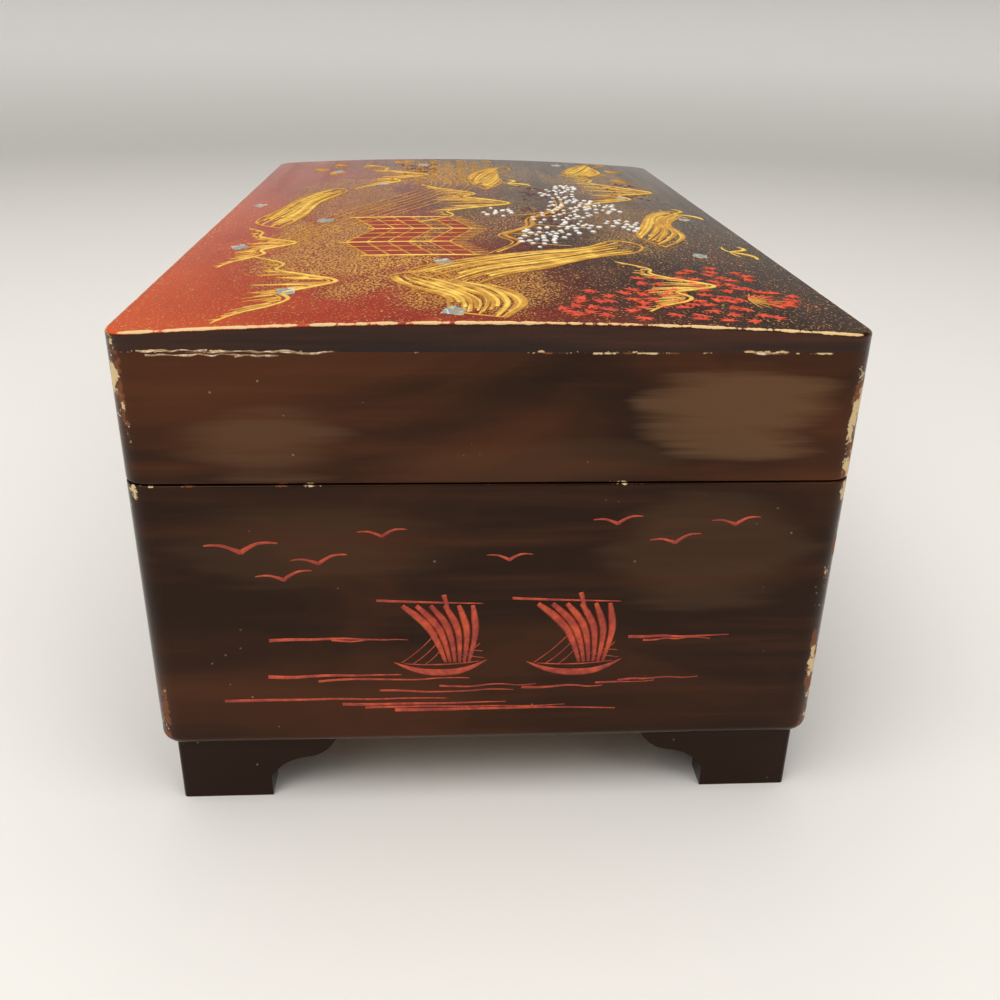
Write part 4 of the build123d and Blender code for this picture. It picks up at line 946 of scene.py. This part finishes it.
# Plum trunk with its twigs, and pine needles in fans.
# The trunk is two heavy lines side by side. Each fan is eleven short lines from one root.
trunk = [(74, 4), (58, 12), (46, 8), (30, 18), (14, 20), (-8, 32), (-30, 34)]
gold_lines.append(along(trunk, 30, 1.0, 0.4))
gold_lines.append(along([(x + 1, y - 2.2) for x, y in trunk], 30, 0.5, 0.4))
twigs = [(44, 9, -6, 18), (26, 19, 4, 20), (12, 21, -14, 16)]
twigs += [(-10, 32, -8, 14), (56, 12, 6, 16), (0, 26, 10, -14)]
for x, y, dx, dy in twigs:
    gold_lines.append(along([(x, y), (x + 0.5 * dx + 2, y + 0.5 * dy), (x + dx, y + dy)], 8, 0.45))
fan_roots = [(-132, -62), (-118, -70), (-104, -62), (-126, -48), (-140, -34)]
fan_roots += [(-110, 58), (-124, 66), (-92, 64), (124, 66)]
needles = 11
for x, y in fan_roots:
    for i in range(needles):
        angle = math.radians(12 + 156 * i / (needles - 1) + hand.uniform(-4, 4))
        reach = hand.uniform(6.5, 9.5)
        tip = (x + reach * math.cos(angle), y + reach * math.sin(angle))
        gold_lines.append(along([(x, y), ((x + tip[0]) / 2 + 0.4, (y + tip[1]) / 2), tip], 4, 0.3))

# Folding garden screen: three red leaves at angles to each other, each a gold lattice.
# The red panels are filled flat, and the row above the middle is left open.
screen_paint = paint("screen_paint", (0.36, 0.030, 0.012), (0.22, 0.016, 0.008), 0.4)
screen_red = []
screen_feet = [((78, -34), (58, -42)), ((58, -42), (36, -34)), ((36, -34), (14, -42))]
leaf_height = 32
bars_across, bars_up, open_row, finials = 3, 5, 3, 9
for foot_a, foot_b in screen_feet:
    foot_a, foot_b = Vector(foot_a), Vector(foot_b)
    for i in range(bars_across + 1):
        foot = foot_a.lerp(foot_b, i / bars_across)
        weight, marks = (0.62, pale_lines) if i in (0, bars_across) else (0.4, gold_lines)
        marks.append([(foot.x, foot.y + rise, weight) for rise in (-2, leaf_height / 2, leaf_height + 1)])
        if i == bars_across:
            continue
        side = foot_a.lerp(foot_b, (i + 1) / bars_across)
        (near_x, near_y), (far_x, far_y) = foot.lerp(side, 0.1), foot.lerp(side, 0.9)
        for k in range(bars_up):
            if k != open_row:
                low, high = (k + 0.08) / bars_up * leaf_height, (k + 0.92) / bars_up * leaf_height
                left_edge = [(near_x, near_y + low), (near_x, near_y + high)]
                screen_red.append(left_edge + [(far_x, far_y + high), (far_x, far_y + low)])
    for k in range(bars_up + 1):
        lift = Vector((0, leaf_height * k / bars_up))
        crossbar = (foot_a, foot_a.lerp(foot_b, 0.5), foot_b)
        gold_lines.append([(*(foot + lift), 0.4) for foot in crossbar])
    for i in range(finials):
        x, y = foot_a.lerp(foot_b, i / (finials - 1)) + Vector((0, leaf_height))
        gold_lines.append(along([(x, y), (x + 0.5, y + 3), (x - 0.5, y + 5.5)], 4, 0.34))

# Rows of overlapping waves on the far-left water.
# Each wave is three arcs, one inside the other, and every second row is set over by half a wave.
wave_pitch = 13
row_pitch = 6.2
for row in range(7):
    for column in range(6):
        x = -142 + wave_pitch * column + (wave_pitch / 2 if row % 2 else 0)
        y = -30 + row_pitch * row
        for reach in (6.2, 4.3, 2.4):
            arc = []
            for i in range(6):
                angle = math.pi * (0.08 + 0.84 * i / 5)
                arc.append((x + reach * math.cos(angle), y + 0.92 * reach * math.sin(angle), 0.26))
            gold_lines.append(arc)

# Cranes crossing the dark sky, in pale gold.
# Each is four strokes: two bent wings, a neck and trailing legs.
crane_parts = [[(-1.2, 0.5), (-0.6, 0.7), (0.0, 0.0)], [(0.0, 0.0), (0.5, 0.8), (1.1, 0.9)]]
crane_parts += [[(0.0, 0.0), (0.5, 0.1), (0.9, 0.3)], [(0.0, 0.0), (-0.4, -0.2), (-0.9, -0.2)]]
crane_widths = (0.9, 0.9, 0.4, 0.4)
for x, y, reach, turn in ((-8, 74, 9, 0.2), (60, 78, 8, -0.1), (-70, 16, 8, 0.3)):
    c, s = math.cos(turn), math.sin(turn)
    for part, width in zip(crane_parts, crane_widths):
        bent = [(x + reach * (a * c - b * s), y + reach * (a * s + b * c)) for a, b in part]
        pale_lines.append(along(bent, 6, width))
lid_shapes("screen_leaves", screen_red, screen_paint, 0.05)
lid_lines("gold_brushwork", gold_lines, gold_paint)
lid_lines("pale_gold_brushwork", pale_lines, pale_gold)

# Plum blossoms, maple leaves and the deep red shade behind them.
# A blossom or a touch of shade is one dab of the brush. A leaf is five short strokes that meet.
white_paint = paint("white_paint", (0.88, 0.89, 0.88), (0.66, 0.62, 0.56), 0.4)
maple_red = paint("maple_red", (0.78, 0.090, 0.024), (0.50, 0.036, 0.012), 0.4)
deep_red = paint("deep_red", (0.16, 0.014, 0.010), (0.06, 0.008, 0.006), 0.45)
blossom_gap = 2.5
blossoms = []
clusters = [(44, 22, 10), (30, 34, 11), (14, 28, 12), (-4, 36, 12), (-24, 38, 11), (-42, 34, 10), (56, 18, 8)]
clusters += [(4, 8, 8), (-12, 48, 10), (22, 50, 9), (-58, 40, 7)]
for x, y, reach in clusters:
    for i in range(int(3.6 * reach)):
        far = reach * math.sqrt(hand.random())
        angle = hand.uniform(0, 2 * math.pi)
        spot = Vector((x + 1.35 * far * math.cos(angle), y + 0.75 * far * math.sin(angle)))
        if all((spot - Vector(other[:2])).length > blossom_gap for other in blossoms):
            blossoms.append((*spot, hand.uniform(1.0, 1.5), angle))
lid_dabs("blossoms", blossoms, white_paint)

leaf_gap = 3.6
margin_x, margin_y = 147, 85
leaf_lines = []
leaf_places = []
for x, y, reach in ((132, 34, 14), (116, 50, 15), (138, 56, 13), (98, 62, 12), (120, 70, 10), (140, 22, 7)):
    for i in range(int(4.2 * reach)):
        far = reach * math.sqrt(hand.random())
        angle = hand.uniform(0, 2 * math.pi)
        spot = Vector((x + far * math.cos(angle), y + far * math.sin(angle)))
        if abs(spot.x) > margin_x or abs(spot.y) > margin_y:
            continue
        if any((spot - other).length < leaf_gap for other in leaf_places):
            continue
        leaf_places.append(spot)
        turn = hand.uniform(0, 2 * math.pi)
        for k in (-2, -1, 0, 1, 2):
            point = turn + 0.75 * k
            lobe = 3.3 - 0.45 * abs(k)
            tip = (spot.x + lobe * math.cos(point), spot.y + lobe * math.sin(point))
            middle = ((spot.x + tip[0]) / 2, (spot.y + tip[1]) / 2)
            leaf_lines.append([(*spot, 0.5), (*middle, 0.85), (*tip, 0.2)])
lid_lines("maple_leaves", leaf_lines, maple_red, 0.25, 0)

shade_dabs = []
shades = ((8, 24, 20, 8), (-44, 30, 18, 10), (-60, 64, 22, 8), (66, 16, 10, 6), (-112, -22, 18, 8))
for x, y, wide, high in shades:
    for i in range(60):
        u, v = x + wide * hand.uniform(-1, 1), y + high * hand.uniform(-1, 1)
        shade_dabs.append((u, v, hand.uniform(0.8, 1.5), hand.uniform(0, 3)))
lid_dabs("shadow_dabs", shade_dabs, deep_red, 7, 0.1)

# Chips of mother-of-pearl, each cut with four sides and set in the wet ground.
# Their colour shifts from grey to green to cream, and a pale gold line runs round each.
pearl = material("pearl", (0.72, 0.74, 0.74), 0.2, Coat_Weight=0.6, Coat_Roughness=0.08)
fire = grain(pearl, 210, 2, 0.5, 2.5)
pearl_tone = blend(span(fire, 0.38, 0.5), (0.42, 0.38, 0.38), (0.24, 0.34, 0.34))
pearl_tone = blend(span(fire, 0.52, 0.64), pearl_tone, (0.78, 0.78, 0.74))
finish_with(pearl, pearl_tone, None, fire, 0.0001, 0.4)
chips = []
chip_edges = []
chip_places = [(120, -52), (142, -10), (88, -12), (60, -74), (18, -52), (-20, -80), (-66, -36), (-84, 8)]
chip_places += [(-136, 44), (-40, 60), (4, 76), (-128, -20), (70, 66), (-108, -58)]
chip_sides = 4
for x, y in chip_places:
    reach = hand.uniform(2.4, 3.8)
    turn = hand.uniform(0, math.pi)
    corners = []
    for k in range(chip_sides):
        angle = turn + 2 * math.pi * k / chip_sides + hand.uniform(-0.2, 0.2)
        corners.append((x + 1.35 * reach * math.cos(angle), y + reach * math.sin(angle)))
    chips.append(corners)
    chip_edges.append([(u, v, 0.26) for u, v in corners + corners[:1]])
lid_shapes("pearl_chips", chips, pearl, 0.14)
lid_lines("chip_edges", chip_edges, pale_gold)

# Floor, light and camera: a plain pale floor that curves up into a wall all round,
# three large soft lamps and the photograph's view. The curve is painted paler than the floor, as painted
# light against the shade it gets, and the wall fades to a warm grey upwards, which is what the polished lid
# reflects.
floor_reach, bend_radius, wall_top = 1.5, 0.6, 1.9
dish_profile = [(0.0, 0.0), (1.2, 0.0), (floor_reach, 0.0)]
for i in range(1, 9):
    angle = math.pi / 2 * i / 8
    dish_profile.append((floor_reach + bend_radius * math.sin(angle), bend_radius * (1 - math.cos(angle))))
dish_profile.append((floor_reach + bend_radius, wall_top))
dish = bmesh.new()
rim = [dish.verts.new((x, 0, z)) for x, z in dish_profile]
for first, second in zip(rim, rim[1:]):
    dish.edges.new((first, second))
bmesh.ops.spin(
    dish, geom=dish.verts[:] + dish.edges[:], cent=(0, 0, 0), axis=(0, 0, 1), angle=2 * math.pi,
    steps=72, use_merge=True,
)
bmesh.ops.remove_doubles(dish, verts=dish.verts, dist=1e-6)
bmesh.ops.recalc_face_normals(dish, faces=dish.faces)
sweep = as_mesh("sweep", dish)
for face in sweep.polygons:
    face.use_smooth = True
floor = bpy.data.objects.new("sweep", sweep)
bpy.context.scene.collection.objects.link(floor)
floor_pale, curve_painted_light, wall_grey = (0.72, 0.71, 0.69), (0.88, 0.88, 0.87), (0.17, 0.155, 0.14)
paper = material("paper", floor_pale, 0.9)
paper_z = apart(paper)[2]
# Painted light: the paper is coloured paler where the floor curves up, against the shade the lamps leave
# there.
paper_tone_with_painted_light = blend(span(paper_z, 0.001, 0.16), floor_pale, curve_painted_light)
finish_with(paper, blend(span(paper_z, 0.12, 0.66), paper_tone_with_painted_light, wall_grey))
sweep.materials.append(paper)
floor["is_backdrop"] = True


def lamp(name, spot, aim, size, power):
    """A soft rectangular lamp, slightly warm."""
    light = bpy.data.lights.new(name, "AREA")
    light.shape = "RECTANGLE"
    light.size, light.size_y = size
    light.energy = power
    light.color = (1.0, 0.97, 0.93)
    holder = bpy.data.objects.new(name, light)
    holder.location = spot
    holder.rotation_euler = (Vector(aim) - Vector(spot)).to_track_quat("-Z", "Y").to_euler()
    bpy.context.scene.collection.objects.link(holder)


lamp("overhead", (-0.1, -0.1, 1.7), (0, 0, 0), (2.0, 1.8), 27)
lamp("left", (0.9, -0.9, 1.5), (0.05, 0, 0.08), (1.4, 1.1), 18)
lamp("right", (0.9, 1.0, 1.4), (0.1, 0, 0.08), (1.3, 1.0), 11)
world = bpy.data.worlds.new("room")
world.use_nodes = True
world.node_tree.nodes["Background"].inputs[0].default_value = (0.56, 0.56, 0.57, 1)
world.node_tree.nodes["Background"].inputs[1].default_value = 0.16
bpy.context.scene.world = world

camera_spot = Vector((380.0, -13.8, 200.4)) * mm
camera_yaw, camera_pitch, camera_roll = math.radians(-3.77), math.radians(25.01), math.radians(1.20)
forward = Vector((
    -math.cos(camera_yaw) * math.cos(camera_pitch),
    -math.sin(camera_yaw) * math.cos(camera_pitch),
    -math.sin(camera_pitch),
))
level = forward.cross(Vector((0, 0, 1))).normalized()
upright = level.cross(forward)
right = level * math.cos(camera_roll) + upright * math.sin(camera_roll)
up = upright * math.cos(camera_roll) - level * math.sin(camera_roll)
lens = bpy.data.cameras.new("camera")
lens.sensor_width = 36.0
lens.lens = 36.86
lens.clip_start = 0.01
camera = bpy.data.objects.new("camera", lens)
turned = Matrix((right, up, -forward)).transposed().to_4x4()
camera.matrix_world = Matrix.Translation(camera_spot) @ turned
bpy.context.scene.collection.objects.link(camera)
bpy.context.scene.camera = camera
bpy.context.scene.view_settings.view_transform = "Standard"

corners = {"cad": cad_box, "scene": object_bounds()}
